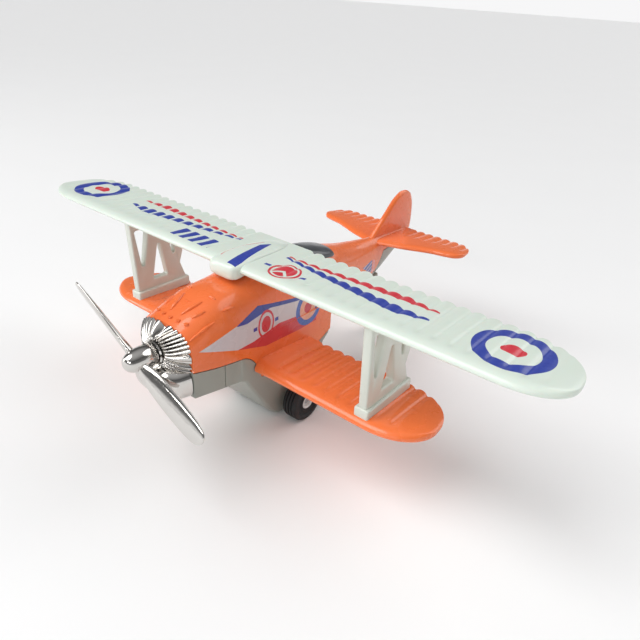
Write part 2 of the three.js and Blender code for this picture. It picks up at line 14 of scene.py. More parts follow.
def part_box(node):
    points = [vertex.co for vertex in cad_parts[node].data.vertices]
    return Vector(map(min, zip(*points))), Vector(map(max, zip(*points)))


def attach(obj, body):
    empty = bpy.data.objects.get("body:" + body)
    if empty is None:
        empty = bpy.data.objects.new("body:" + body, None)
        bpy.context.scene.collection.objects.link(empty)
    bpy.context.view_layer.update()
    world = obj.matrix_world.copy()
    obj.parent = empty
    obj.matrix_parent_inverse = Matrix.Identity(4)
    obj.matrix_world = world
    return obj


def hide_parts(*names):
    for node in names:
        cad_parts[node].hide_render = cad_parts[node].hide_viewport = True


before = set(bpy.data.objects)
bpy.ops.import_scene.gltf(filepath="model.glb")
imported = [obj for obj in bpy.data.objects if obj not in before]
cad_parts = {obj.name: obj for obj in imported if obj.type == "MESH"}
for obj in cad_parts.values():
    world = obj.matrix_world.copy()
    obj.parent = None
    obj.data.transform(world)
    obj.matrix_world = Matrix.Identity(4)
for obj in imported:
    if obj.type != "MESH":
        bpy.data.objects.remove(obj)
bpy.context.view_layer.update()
MM = 0.001
BODY = "airframe"


def cad_span(node):
    """Lowest and highest corner of a CAD node, in millimetres."""
    low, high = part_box(node)
    return np.array(low) / MM, np.array(high) / MM


# ---- sizes
# Places read from the frame.
NOSE_Y = cad_span("body_casting")[0][1]
AXLE_Y, AXLE_Z = sum(cad_span("main_axle"))[1:] / 2
TAIL_Y, TAIL_Z = sum(cad_span("tail_wheel"))[1:] / 2
SHAFT_Z = sum(cad_span("nose_bush"))[2] / 2
BUSH_BACK_Y = cad_span("nose_bush")[1][1]
SCREW_Y = [float(sum(cad_span(name))[1] / 2) for name in ("screw_front", "screw_rear")]

# Sizes that the CAD part has too.
WALL = 1.6
PART_GAP = 0.3
OVAL = 3.2  # squareness of the nose section
CABANE_PEGS = (-28, -15)
STRUT_IN, STRUT_OUT, STRUT_X = 46.6, 49.4, 48.0
STRUT_PEGS = (-27, -14)
PEG_HOLE_R = 1.3
AXLE_HOLE_R, TAIL_HOLE_R = 1.15, 0.85
TYRE_R, TYRE_INNER, TYRE_OUTER = 6.9, 12.7, 18.2
HUB_R, RIM_R = 2.6, 2.0
TAIL_WHEEL_R, TAIL_WHEEL_HALF = 3.5, 1.3
PROP_Y, PROP_BACK, PROP_TIP, BOSS_R = -64, -59.4, -67.8, 3.2
BLADE_ROOT, BLADE_RUN, BLADE_LEAN = 1.5, 26.2, math.radians(119)
COWL_HALF, COWL_RISE, COLLAR_R, COWL_FINS = 10.2, 7.2, 4, 30

# Wings: plan, depth, and the grooves between their ribs.
RIB_PITCH = 4.3
TAIL_RIB_PITCH = 3.7
PLAIN_TIP = 7
GROOVE_POWER = 0.55
GROOVE_START, GROOVE_RUN = 0.14, 0.08
UPPER = dict(
    tip=95.5, lead=-32.7, trail=-8, widest=-22, lead_run=16, trail_run=20,
    lead_power=2.3, trail_power=2.2, top=55.8, thick=2.8, ribbed=12, dip=0.55, scallop=1.0, droop=0.24,
)
LOWER = dict(
    tip=65.6, lead=-32.5, trail=-7.2, widest=-20.3, lead_run=15.6, trail_run=15.6,
    lead_power=2.1, trail_power=2.1, top=26.2, thick=3.2, ribbed=17, dip=0.5, scallop=0.9, droop=0.4,
)
# The lower wing thickens towards the body over this stretch, by this much.
ROOT_X, ROOT_RISE = 16, 3.4

# Fuselage stations: [y, half width, top, belly, squareness].
STATIONS = np.array([
    [NOSE_Y, 10.4, 45.1, 24.6, 3.2], [-48, 10.6, 48, 23.4, 3.2], [-42, 10.6, 49.9, 22.3, 3.2],
    [-34, 10.6, 50.6, 20.9, 3.2], [-24, 10.6, 51.7, 20.4, 3.2], [-10, 10.3, 51, 20.8, 3],
    [0, 9.8, 49.8, 21.4, 2.7], [10.5, 8.7, 48.6, 22.2, 2.4], [20.7, 7.2, 46.4, 23.2, 2.2],
    [33, 5.4, 44.4, 25.2, 2.1], [43, 3.9, 43.3, 28.4, 2.1], [52, 2.8, 43, 32.4, 2.1],
    [64, 1.6, 42.8, 37.6, 2.1],
])
# Seam between casting and chassis from the side, nose to tail: [y, z].
SEAM_TABLE = np.array([
    [-56, 34.3], [-43.8, 31.3], [-38.8, 30.4], [-36.5, 30.1], [-34.5, 29.2], [-32.1, 26.9], [-30.4, 23.9],
    [-29.2, 20.3],
])
PARTING_AFT = [(-3, 20.3), (6, 24.4), (36, 31), (39.4, 32), (44.6, 38.2), (66, 39.4)]


# ---- mesh helpers
def curve_through(stations, at):
    """Smooth values between table rows, without overshoot; column 0 is the station."""
    x, rows = stations[:, 0], stations[:, 1:]
    step = np.diff(x)[:, None]
    slope = np.diff(rows, axis=0) / step
    lean = np.vstack([slope[:1], np.zeros_like(slope[1:]), slope[-1:]])
    same = slope[:-1] * slope[1:] > 0
    total = np.where(same, slope[:-1] + slope[1:], 1)
    lean[1:-1] = np.where(same, 2 * slope[:-1] * slope[1:] / total, 0)
    i = np.clip(np.searchsorted(x, at, side="right") - 1, 0, len(x) - 2)
    h = step[i]
    s = ((at - x[i]) / h[:, 0])[:, None]
    first = (2 * s**3 - 3 * s**2 + 1) * rows[i] + (s**3 - 2 * s**2 + s) * h * lean[i]
    return first + (3 * s**2 - 2 * s**3) * rows[i + 1] + (s**3 - s**2) * h * lean[i + 1]


def new_piece(name, points, faces, sharp=40):
    """A linked piece from points in millimetres, shaded smooth up to the sharp angle."""
    mesh = bpy.data.meshes.new(name)
    mesh.from_pydata((np.asarray(points, float) * MM).tolist(), [], faces)
    mesh.validate()
    piece = bpy.data.objects.new(name, mesh)
    bpy.context.scene.collection.objects.link(piece)
    face_outwards(piece)
    shade(piece, sharp)
    return piece


def face_outwards(piece):
    """Turn every face outwards."""
    work = bmesh.new()
    work.from_mesh(piece.data)
    bmesh.ops.recalc_face_normals(work, faces=work.faces)
    work.to_mesh(piece.data)
    work.free()


def shade(piece, sharp):
    """Smooth shading, with edges above an angle in degrees left sharp."""
    piece.data.shade_smooth()
    piece.data.set_sharp_from_angle(angle=math.radians(sharp))


def loft(name, rings, sharp=40):
    """A closed skin over rings of equal count, shaped (rings, points, 3)."""
    rings = np.asarray(rings, float)
    count, around = rings.shape[:2]
    points = np.vstack([rings.reshape(-1, 3), rings[0].mean(0), rings[-1].mean(0)])
    faces = []
    for r in range(count - 1):
        for i in range(around):
            a, b = r * around + i, r * around + (i + 1) % around
            faces.append((a, b, b + around, a + around))
    last = (count - 1) * around
    for i in range(around):
        j = (i + 1) % around
        faces.append((count * around, j, i))
        faces.append((count * around + 1, last + i, last + j))
    return new_piece(name, points, faces, sharp)


def turned(name, profile, axis, centre, sides=96, sharp=40):
    """A turned ring or rod from closed (radius, station) pairs along X, Y or Z."""
    profile = np.asarray(profile, float)
    turns = np.arange(sides) / sides * 2 * math.pi
    first, second = [(1, 2), (2, 0), (0, 1)][axis]
    points = np.zeros((sides, len(profile), 3))
    points[..., axis] = profile[:, 1]
    points[..., first] = np.cos(turns)[:, None] * profile[:, 0]
    points[..., second] = np.sin(turns)[:, None] * profile[:, 0]
    points += np.asarray(centre, float)
    n = len(profile)
    faces = []
    for s in range(sides):
        for i in range(n):
            j, t = (i + 1) % n, (s + 1) % sides
            faces.append((s * n + i, s * n + j, t * n + j, t * n + i))
    piece = new_piece(name, points.reshape(-1, 3), faces, sharp)
    merge_points(piece, sharp)
    return piece


def merge_points(piece, sharp, distance=1e-6):
    """Join points closer than a distance in metres and drop what collapses."""
    work = bmesh.new()
    work.from_mesh(piece.data)
    bmesh.ops.remove_doubles(work, verts=work.verts, dist=distance)
    bmesh.ops.dissolve_degenerate(work, edges=work.edges, dist=distance)
    bmesh.ops.recalc_face_normals(work, faces=work.faces)
    work.to_mesh(piece.data)
    work.free()
    shade(piece, sharp)


def arc(centre, radius, start, stop, count=8):
    """Outline points along an arc between two angles in degrees."""
    angles = np.radians(np.linspace(start, stop, count))
    return [(centre[0] + radius * math.cos(a), centre[1] + radius * math.sin(a)) for a in angles]


def side_slab(name, outline, x0, x1):
    """A (y, z) outline given a width along X."""
    n = len(outline)
    points = [(x, y, z) for x in (x0, x1) for y, z in outline]
    faces = [tuple(range(n))[::-1], tuple(range(n, 2 * n))]
    faces += [(i, (i + 1) % n, (i + 1) % n + n, i + n) for i in range(n)]
    return new_piece(name, points, faces, 30)


def block(name, low, high):
    """A box between two corners."""
    (x0, y0, z0), (x1, y1, z1) = low, high
    return side_slab(name, [(y0, z0), (y1, z0), (y1, z1), (y0, z1)], x0, x1)


def rod(name, radius, axis, start, stop, centre, sides=32):
    """A round rod along X, Y or Z between two stations."""
    centre = np.array(centre, float)
    centre[axis] = 0
    return turned(name, [(0, start), (radius, start), (radius, stop), (0, stop)], axis, centre, sides)


def settle(piece, sharp=40):
    """Turn a piece's modifiers into its mesh."""
    shown = bpy.context.evaluated_depsgraph_get()
    mesh = bpy.data.meshes.new_from_object(piece.evaluated_get(shown))
    piece.modifiers.clear()
    piece.data = mesh
    shade(piece, sharp)


def combine(piece, tools, operation, sharp=40):
    """Join, cut or intersect with other closed pieces, which are used up."""
    for tool in tools:
        modifier = piece.modifiers.new(operation, "BOOLEAN")
        modifier.operation = operation
        modifier.solver = "MANIFOLD"
        modifier.object = tool
    settle(piece, sharp)
    for tool in tools:
        bpy.data.objects.remove(tool)
    merge_points(piece, sharp, 2e-6)
    return piece


def bevelled(piece, width, angle=35):
    """Round over the edges of a piece that turn by more than an angle in degrees."""
    modifier = piece.modifiers.new("edges", "BEVEL")
    modifier.width = width * MM
    modifier.segments = 4
    modifier.limit_method = "ANGLE"
    modifier.angle_limit = math.radians(angle)
    settle(piece)
    return piece


def mount(piece, body, nodes, material):
    """Ride on a body, stand for CAD nodes and take a finish."""
    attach(piece, body)
    if nodes:
        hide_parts(*nodes)
    piece.data.materials.clear()
    piece.data.materials.append(material)
    return piece


# ---- material helpers
def colour(code):
    """Linear colour from a hex code."""
    parts = [int(code[i:i + 2], 16) / 255 for i in (0, 2, 4)]
    return tuple(p / 12.92 if p <= 0.04045 else ((p + 0.055) / 1.055) ** 2.4 for p in parts) + (1,)


# Sockets of a Mix node that mixes colours.
COLOUR_MIX_FACTOR, COLOUR_MIX_A, COLOUR_MIX_B, COLOUR_MIX_OUT = 0, 6, 7, 2


class Finish:
    """A procedural material; its helpers add nodes and return their sockets."""

    def __init__(self, name, rough, metal=0.0, coat=0.0, coat_rough=0.05):
        self.material = bpy.data.materials.new(name)
        self.material.use_nodes = True
        self.nodes = self.material.node_tree.nodes
        self.links = self.material.node_tree.links
        self.shader = self.nodes["Principled BSDF"]
        self.set("Roughness", rough)
        self.set("Metallic", metal)
        self.set("Coat Weight", coat)
        self.set("Coat Roughness", coat_rough)
        place = self.node("ShaderNodeTexCoord").outputs["Object"]
        scale = {0: place, "Scale": 1 / MM}
        self.point = self.node("ShaderNodeVectorMath", scale, operation="SCALE").outputs[0]
        split = self.node("ShaderNodeSeparateXYZ", {0: self.point})
        self.x, self.y, self.z = split.outputs
        facing = self.node("ShaderNodeNewGeometry").outputs["Normal"]
        self.nx, _, self.nz = self.node("ShaderNodeSeparateXYZ", {0: facing}).outputs

    def node(self, kind, inputs=None, **settings):
        """Add a node; inputs are values or the sockets that feed it."""
        made = self.nodes.new(kind)
        for key, value in settings.items():
            setattr(made, key, value)
        for key, value in (inputs or {}).items():
            if isinstance(value, bpy.types.NodeSocket):
                self.links.new(value, made.inputs[key])
            else:
                made.inputs[key].default_value = value
        return made

    def set(self, socket, value):
        """Give the shader a value or feed it from a socket."""
        if isinstance(value, bpy.types.NodeSocket):
            self.links.new(value, self.shader.inputs[socket])
        else:
            self.shader.inputs[socket].default_value = value

    def math(self, operation, *values):
        return self.node("ShaderNodeMath", dict(enumerate(values)), operation=operation).outputs[0]

    def above(self, value, limit):
        """Mask where a value is above a limit."""
        return self.math("GREATER_THAN", value, limit)

    def under(self, value, limit):
        """Mask where a value is under a limit."""
        return self.math("LESS_THAN", value, limit)

    def all_of(self, *masks):
        """Mask where all masks meet."""
        result = masks[0]
        for mask in masks[1:]:
            result = self.math("MULTIPLY", result, mask)
        return result

    def any_of(self, *masks):
        """Mask that any of the masks covers."""
        result = masks[0]
        for mask in masks[1:]:
            result = self.math("MAXIMUM", result, mask)
        return result

    def run(self, value, points):
        """Straight runs through (input, output) points, level beyond both ends."""
        total = points[0][1]
        for (x0, y0), (x1, y1) in zip(points, points[1:]):
            inputs = {"Value": value, "From Min": x0, "From Max": x1, "To Min": 0, "To Max": y1 - y0}
            total = self.math("ADD", self.node("ShaderNodeMapRange", inputs).outputs[0], total)
        return total

    def band(self, along, across, low, high):
        """The strip between two lines, from the first to the last point along."""
        start = max(low[0][0], high[0][0])
        stop = min(low[-1][0], high[-1][0])
        return self.all_of(
            self.above(along, start), self.under(along, stop),
            self.above(across, self.run(along, low)), self.under(across, self.run(along, high)),
        )

    def distance(self, u, v, centre):
        """Distance from a centre in a plane of two coordinates."""
        du = self.math("SUBTRACT", u, centre[0])
        dv = self.math("SUBTRACT", v, centre[1])
        return self.math("SQRT", self.math("ADD", self.math("POWER", du, 2), self.math("POWER", dv, 2)))

    def ring(self, away, inner, outer):
        """Mask between two distances."""
        return self.all_of(self.above(away, inner), self.under(away, outer))

    def noise(self, size, detail=3, stretch=(1, 1, 1)):
        """Soft noise; size is the spacing of its spots in millimetres."""
        product = {0: self.point, 1: stretch}
        scaled = self.node("ShaderNodeVectorMath", product, operation="MULTIPLY").outputs[0]
        inputs = {"Vector": scaled, "Scale": 1 / size, "Detail": detail}
        return self.node("ShaderNodeTexNoise", inputs).outputs[0]

    def span(self, value, low, high):
        """Map a 0 to 1 value on to low to high."""
        return self.node("ShaderNodeMapRange", {"Value": value, "To Min": low, "To Max": high}).outputs[0]

    def blend(self, mask, first, second):
        """The first colour where the mask is 0 and the second where it is 1."""
        inputs = {COLOUR_MIX_FACTOR: mask, COLOUR_MIX_A: first, COLOUR_MIX_B: second}
        return self.node("ShaderNodeMix", inputs, data_type="RGBA").outputs[COLOUR_MIX_OUT]

    def bump(self, height, distance):
        """Relief of a depth in millimetres from a height between 0 and 1."""
        inputs = {"Height": height, "Distance": distance * MM, "Strength": 1.0}
        self.set("Normal", self.node("ShaderNodeBump", inputs).outputs[0])

    def mottled(self, base, amount=0.06, size=9):
        """The base colour with a slow light and dark drift."""
        dark = tuple(c * (1 - amount) for c in base[:3]) + (1,)
        light = tuple(min(1, c * (1 + amount)) for c in base[:3]) + (1,)
        return self.blend(self.noise(size), dark, light)


WHITE = colour("D9E4D9")
ORANGE = colour("F2763C")
BLUE = colour("30429A")
RED = colour("C93643")
PALE = colour("CDCBCF")


# ---- printed finishes
# Upper wing print, as (x, y) places, radii and lengths in millimetres.
ROUNDEL_X, ROUNDEL_Y = 79.2, -19.7
ROUNDEL_DOT, ROUNDEL_IN, ROUNDEL_OUT = 2.2, 6.3, 9.55
OVAL_MARK = 0.72  # how much an oval mark is squashed
WING_BADGE_X, WING_BADGE_Y = 15.6, -25.6
BAR_INNER, BAR_OUTER, BAR_FRONT, BAR_REAR = -11.2, -27.8, -30, -23.8
BAR_PITCH, BAR_SHARE, BAR_LEAN, BAR_START = 4.2, 0.56, 0.12, 24.6
# Body side print, as (y, z) places.
SIDE_ROUNDEL = (-8.0, 35.9)
SIDE_BADGE_Y, SIDE_BADGE_Z = -27.4, 37.8
FACING = 0.4  # how far a face has to look sideways to take side print


def wing_stripes(f, span):
    """Blue and red stripes with frayed edges, broken into dashes on the right wing."""
    turn = f.math("SUBTRACT", span, UPPER["ribbed"])
    wave = f.math("ABSOLUTE", f.math("SINE", f.math("MULTIPLY", turn, math.pi / RIB_PITCH)))
    dash = f.any_of(f.above(f.x, 0), f.above(wave, 0.3))
    fray = f.math("MULTIPLY", f.math("SUBTRACT", wave, 0.6), 0.32)
    low_y, high_y = f.math("ADD", f.y, fray), f.math("SUBTRACT", f.y, fray)

    def stripe(low, high):
        start, stop = low[0][0], low[-1][0]
        return f.all_of(
            f.above(span, start), f.under(span, stop), dash,
            f.above(low_y, f.run(span, low)), f.under(high_y, f.run(span, high)),
        )

    blue = stripe(
        [(9.4, -18.1), (24, -20.7), (49.5, -24.1), (58.4, -21.6)],
        [(9.4, -17.4), (24, -18.5), (47, -20.1), (58.4, -21.0)],
    )
    red = stripe(
        [(9.6, -17.0), (21.2, -17.3), (49.5, -16.5), (58.4, -16.2)],
        [(9.6, -16.5), (20.3, -16.0), (48, -13.7), (58.4, -15.7)],
    )
    return blue, red


def wing_roundels(f, span):
    """A blue ring and an oval red dot on each wing."""
    away = f.distance(span, f.y, (ROUNDEL_X, ROUNDEL_Y))
    squashed = f.math("MULTIPLY", span, OVAL_MARK)
    dot = f.under(f.distance(squashed, f.y, (ROUNDEL_X * OVAL_MARK, ROUNDEL_Y)), ROUNDEL_DOT)
    return f.ring(away, ROUNDEL_IN, ROUNDEL_OUT), dot


def wing_bars(f):
    """Four plain leaning bars on the right wing."""
    lean = f.math("ADD", f.x, f.math("MULTIPLY", f.y, -BAR_LEAN))
    turn = f.math("FRACT", f.math("DIVIDE", f.math("ADD", lean, BAR_START), BAR_PITCH))
    return f.all_of(
        f.above(f.x, BAR_OUTER), f.under(f.x, BAR_INNER), f.above(f.y, BAR_FRONT), f.under(f.y, BAR_REAR),
        f.under(turn, BAR_SHARE),
    )


def wing_badge(f):
    """A red disc with a white chevron in a red ring, and a short blue tick on each side."""
    away = f.distance(f.x, f.y, (WING_BADGE_X, WING_BADGE_Y))
    chevron_y = f.math("ADD", f.y, f.math("ABSOLUTE", f.math("SUBTRACT", f.x, WING_BADGE_X)))
    chevron = f.all_of(f.above(chevron_y, -26.4), f.under(chevron_y, -25.2))
    disc = f.all_of(f.under(away, 3.5), f.math("SUBTRACT", 1, chevron))
    level = f.math("ABSOLUTE", f.math("ADD", f.y, -WING_BADGE_Y))
    ticks = f.all_of(f.ring(away, 5.2, 7.4), f.under(level, 0.55))
    return ticks, f.any_of(disc, f.ring(away, 4.1, 4.7))


def fairing_marks(f):
    """A blade-shaped blue flash and a red hair line on the centre fairing."""
    flash = f.band(
        f.y, f.x, [(-33.6, 1.4), (-18.3, -0.7), (-15.6, 0.9)], [(-33.6, 4.6), (-30.8, 4.4), (-15.6, 1.2)],
    )
    hair = f.band(
        f.y, f.x, [(-31.2, -3.9), (-29, -4.5), (-23.2, -4.4), (-15.8, -1.4)],
        [(-31.2, -3.5), (-29, -4.15), (-23.2, -4.05), (-15.8, -1.2)],
    )
    return flash, hair


def wing_finish():
    """White moulding with its print on the upper face."""
    f = Finish("wing_white_print", 0.32, coat=0.35, coat_rough=0.08)
    top = f.above(f.nz, 0.25)
    span = f.math("ABSOLUTE", f.x)
    blue_stripe, red_stripe = wing_stripes(f, span)
    blue_ring, red_dot = wing_roundels(f, span)
    blue_ticks, red_badge = wing_badge(f)
    flash, hair = fairing_marks(f)
    blue = f.all_of(top, f.any_of(blue_stripe, blue_ring, wing_bars(f), blue_ticks, flash))
    red = f.all_of(top, f.any_of(red_stripe, red_dot, red_badge, hair))
    white = f.mottled(WHITE, 0.035, 14)
    thin = f.noise(0.9, 4)
    blue_ink = f.blend(thin, colour("22338F"), colour("3A4FB0"))
    red_ink = f.blend(thin, colour("C4202F"), colour("DE4350"))
    f.set("Base Color", f.blend(red, f.blend(blue, white, blue_ink), red_ink))
    f.set("Roughness", f.span(f.noise(3.5, 4), 0.24, 0.4))
    f.set("Subsurface Weight", 0.06)
    f.set("Subsurface Scale", 0.002)
    f.bump(f.noise(1.1, 4), 0.02)
    return f.material


def side_flash(f, side):
    """Pale patch along the nose, with a blue upper edge and a red lower one."""
    nose_end, flash_end = -52.3, -4.0
    upper = [(nose_end, 39.4), (-38.7, 41.7), (-30.3, 44.7), (-14.6, 41.6), (flash_end, 40.2)]
    blue_low = [(-38.7, 41.4), (-34.9, 40.9), (-25.5, 42.4), (-14.1, 40.3), (flash_end, 39.2)]
    lower = [(nose_end, 39.4), (-38.8, 34.0), (-27.4, 30.4), (-12.4, 29.7), (flash_end, 29.9)]
    red_high = [(-38.8, 34.0), (-32.3, 34.1), (-21.8, 35.9), (-13.4, 34.9), (flash_end, 34.2)]
    patch = f.all_of(side, f.band(f.y, f.z, lower, upper))
    blue = f.all_of(side, f.band(f.y, f.z, blue_low, upper[1:]))
    red = f.all_of(side, f.band(f.y, f.z, lower[1:], red_high))
    return patch, blue, red


def side_badge(f, side):
    """An oval red disc in a red ring, and a short blue tick on each side."""
    low_z = f.math("MULTIPLY", f.z, OVAL_MARK)
    away = f.distance(f.y, low_z, (SIDE_BADGE_Y, SIDE_BADGE_Z * OVAL_MARK))
    red = f.all_of(side, f.any_of(f.under(away, 1.9), f.ring(away, 2.7, 3.3)))
    level = f.math("ABSOLUTE", f.math("SUBTRACT", f.z, SIDE_BADGE_Z))
    blue = f.all_of(side, f.ring(away, 3.7, 5.2), f.under(level, 0.6))
    return red, blue


def tail_print(f, paint):
    """A blue patch with pale slanted lines, and a pink bar behind it."""
    side = f.above(f.math("ABSOLUTE", f.nx), FACING)
    patch = f.band(f.y, f.z, [(27.8, 36.4), (31.6, 34.0), (35.2, 32.4)], [(27.8, 36.7), (35.2, 37.4)])
    bar = f.band(f.y, f.z, [(35.9, 32.0), (37.4, 31.2)], [(35.9, 37.4), (37.4, 36.4)])
    slant = f.math("SUBTRACT", f.z, f.math("MULTIPLY", f.y, 0.3))
    line = f.under(f.math("FRACT", f.math("MULTIPLY", slant, 0.62)), 0.3)
    paint = f.blend(f.all_of(side, patch), paint, colour("4F5699"))
    paint = f.blend(f.all_of(side, patch, line), paint, colour("C9B4BE"))
    return f.blend(f.all_of(side, bar), paint, colour("F08E8C"))


def casting_finish():
    """Orange enamel with the printed side flash, rings and tail patch; the white discs inside the side rings
    are tinted salmon, a painted reflection of the orange body.
    """
    f = Finish("casting_enamel_print", 0.3, coat=0.5, coat_rough=0.03)
    f.set("Specular IOR Level", 0.35)
    on_body = f.under(f.math("ABSOLUTE", f.x), 11.2)
    side = f.all_of(f.above(f.math("ABSOLUTE", f.nx), FACING), on_body)
    patch, blue_band, red_band = side_flash(f, side)
    badge_red, badge_blue = side_badge(f, side)
    away = f.distance(f.y, f.z, SIDE_ROUNDEL)
    roundel = f.all_of(side, f.under(away, 6.0))
    orange = f.mottled(ORANGE, 0.05, 16)
    paint = f.blend(f.any_of(patch, roundel), orange, f.mottled(PALE, 0.03))
    paint = f.blend(red_band, paint, f.mottled(colour("C9303A"), 0.05))
    paint = f.blend(blue_band, paint, f.mottled(BLUE, 0.06))
    paint = f.blend(badge_red, paint, RED)
    paint = f.blend(badge_blue, paint, BLUE)
    # The side roundel's white disc is tinted salmon: white print with a painted reflection of the orange
    # enamel around it.
    paint = f.blend(roundel, paint, f.mottled(colour("E8A88A"), 0.03))
    paint = f.blend(f.all_of(side, f.under(away, 1.9)), paint, RED)
    paint = f.blend(f.all_of(side, f.ring(away, 4.1, 6.0)), paint, colour("3C62B5"))
    f.set("Base Color", tail_print(f, paint))
    f.set("Roughness", f.span(f.noise(5, 3), 0.22, 0.32))
    f.bump(f.noise(3.0, 2), 0.03)
    return f.material


# ---- plain finishes
def moulded(name, code, rough, grain=0.018, coat=0.0, drift=0.04):
    """Moulded plastic with a slow colour drift and a fine skin."""
    f = Finish(name, rough, coat=coat)
    f.set("Base Color", f.mottled(colour(code), drift, 11))
    f.set("Roughness", f.span(f.noise(2.2, 4), rough * 0.8, min(1, rough * 1.25)))
    f.bump(f.noise(0.7, 4), grain)
    return f.material


def plated(name, code, rough, ripple=0.03, size=2.4):
    """Bright plating over a moulding that isn't quite true."""
    f = Finish(name, rough, metal=1.0)
    f.set("Base Color", f.mottled(colour(code), 0.05, 5))
    f.set("Roughness", f.span(f.noise(1.3, 4), rough * 0.6, rough * 1.7))
    f.bump(f.noise(size, 2), ripple)
    return f.material


def drawn_metal(name, code, rough, along):
    """Turned or drawn metal with fine lines; along is the axis the lines follow."""
    f = Finish(name, rough, metal=1.0)
    stretch = tuple(0.08 if i == along else 1.0 for i in range(3))
    lines = f.noise(0.25, 3, stretch)
    f.set("Base Color", f.mottled(colour(code), 0.07, 3))
    f.set("Roughness", f.span(lines, rough * 0.7, rough * 1.4))
    f.bump(lines, 0.01)
    return f.material


# ---- wings
def both_sides(half):
    """Places along the whole span from those on one side, which start at the middle."""
    return np.concatenate([-half[:0:-1], half])


def corner(x, tip, run, power):
    """1 along the straight part of an edge, falling to 0 round the tip."""
    past = np.clip((np.abs(x) - (tip - run)) / run, 0, 1)
    return (1 - past**power) ** (1 / power)


def wing_edges(w, x):
    """Leading and trailing edge at a place along the span."""
    lead = w["widest"] + (w["lead"] - w["widest"]) * corner(x, w["tip"], w["lead_run"], w["lead_power"])
    trail = w["widest"] + (w["trail"] - w["widest"]) * corner(x, w["tip"], w["trail_run"], w["trail_power"])
    return lead, trail


def wing_section(droop, count=64):
    """Closed section from the trailing edge over the top and back: chord share, depth share."""
    round_to, level_to, under_rise = 0.12, 0.14, 0.27
    share = 0.5 - 0.5 * np.cos(np.linspace(0, math.pi, count // 2))
    nose = np.sqrt(np.clip(1 - (1 - np.clip(share / round_to, 0, 1)) ** 2, 0, 1))
    fall = np.clip((share - level_to) / (1 - level_to), 0, 1)
    top = 0.5 - 0.5 * nose + droop * fall**1.6
    under = 0.5 + 0.5 * nose - under_rise * fall**1.4
    upper = np.column_stack([share, top])[::-1]
    lower = np.column_stack([share, under])[1:]
    return np.vstack([upper, lower])


def groove_at(reach, first, pitch):
    """1 in the grooves between ribs and 0 on their crowns."""
    return 1 - abs(math.sin(math.pi * (reach - first) / pitch)) ** GROOVE_POWER


def foil_ring(section, x, lead, chord, middle, thick, depth):
    """One ring of a wing; grooves are cut into the top and half as deep into the underside."""
    share, drop = section[:, 0], section[:, 1]
    z = middle + thick * (0.5 - drop) - np.where(drop < 0.5, depth, -depth * 0.5)
    return np.column_stack([np.full(len(section), x), lead + share * chord, z])


def wing(name, w, lift):
    """A wing with grooves between its ribs, scallops behind them and plain tips."""
    steps = np.arange(0, w["tip"] - 0.02, RIB_PITCH / 12)
    tips = w["tip"] - np.array([0.3, 0.12, 0.03])
    half = np.unique(np.concatenate([steps[steps < tips[0]], tips]))
    section = wing_section(w["droop"])
    start = np.clip((section[:, 0] - GROOVE_START) / GROOVE_RUN, 0, 1)
    plain_from = w["tip"] - PLAIN_TIP
    rings = []
    for x in both_sides(half):
        reach = abs(x)
        fade = np.clip((reach - w["ribbed"] + RIB_PITCH) / RIB_PITCH, 0, 1)
        fade *= np.clip((plain_from - reach) / RIB_PITCH + 0.5, 0, 1)
        groove = fade * groove_at(reach, w["ribbed"], RIB_PITCH)
        lead, trail = wing_edges(w, x)
        chord = max(trail - lead - w["scallop"] * groove, 0.3)
        thick = w["thick"] * min(1, (chord / (w["trail"] - w["lead"])) ** 0.4) + 2 * lift(x)
        depth = w["dip"] * groove * start**2 * (3 - 2 * start)
        rings.append(foil_ring(section, x, lead, chord, w["top"] - w["thick"] / 2, thick, depth))
    return loft(name, rings, 50)


def no_lift(x):
    """The upper wing keeps its thickness."""
    return 0


def root_lift(x):
    """How much the lower wing thickens above and below towards the body."""
    return ROOT_RISE * max(0, 1 - abs(x) / ROOT_X) ** 1.5


# ---- fuselage
def squared(wave, square):
    """A sine or cosine pushed outwards, so that a circle becomes a squarish oval."""
    return np.sign(wave) * np.abs(wave) ** (2 / square)


def oval_rings(stations, inset=0.0, around=112):
    """Rings of a squarish oval from rows of y, half width, top, foot and squareness."""
    turn = np.arange(around) / around * 2 * math.pi
    rings = []
    for y, half, top, foot, square in stations:
        x = squared(np.cos(turn), square) * (half - inset)
        z = (top + foot) / 2 + squared(np.sin(turn), square) * ((top - foot) / 2 - inset)
        rings.append(np.column_stack([x, np.full(around, y), z]))
    return rings


def smooth_table(table, count, first=None, last=None):
    """More rows, drawn smoothly through the given ones."""
    table = np.asarray(table, float)
    start = table[0, 0] if first is None else first
    stop = table[-1, 0] if last is None else last
    at = np.linspace(start, stop, count)
    return np.column_stack([at, curve_through(table, at)])


def body_form(name, inset=0.0, first=None, last=None, lift=0.0, around=112, count=130):
    """The whole fuselage, or a stretch of it, shrunk by an inset and with its top lifted."""
    table = smooth_table(STATIONS, count, first, last)
    table[:, 2] += lift
    return loft(name, oval_rings(table, inset, around))


def below_seam(name, drop, half):
    """Everything below the seam line, lowered by a drop, within a half width."""
    at = np.linspace(SEAM_TABLE[0, 0], SEAM_TABLE[-1, 0], 60)
    front = list(zip(at, curve_through(SEAM_TABLE, at)[:, 0]))
    line = [(-60, SEAM_TABLE[0, 1])] + front + PARTING_AFT
    outline = [(-60, -6), (70, -6)] + [(y, z - drop) for y, z in reversed(line)]
    return side_slab(name, outline, -half, half)


def rounded_slab(name, outline, x0, x1, width):
    """A (y, z) outline given a width along X, with its edges rounded over."""
    return bevelled(side_slab(name, outline, x0, x1), width)


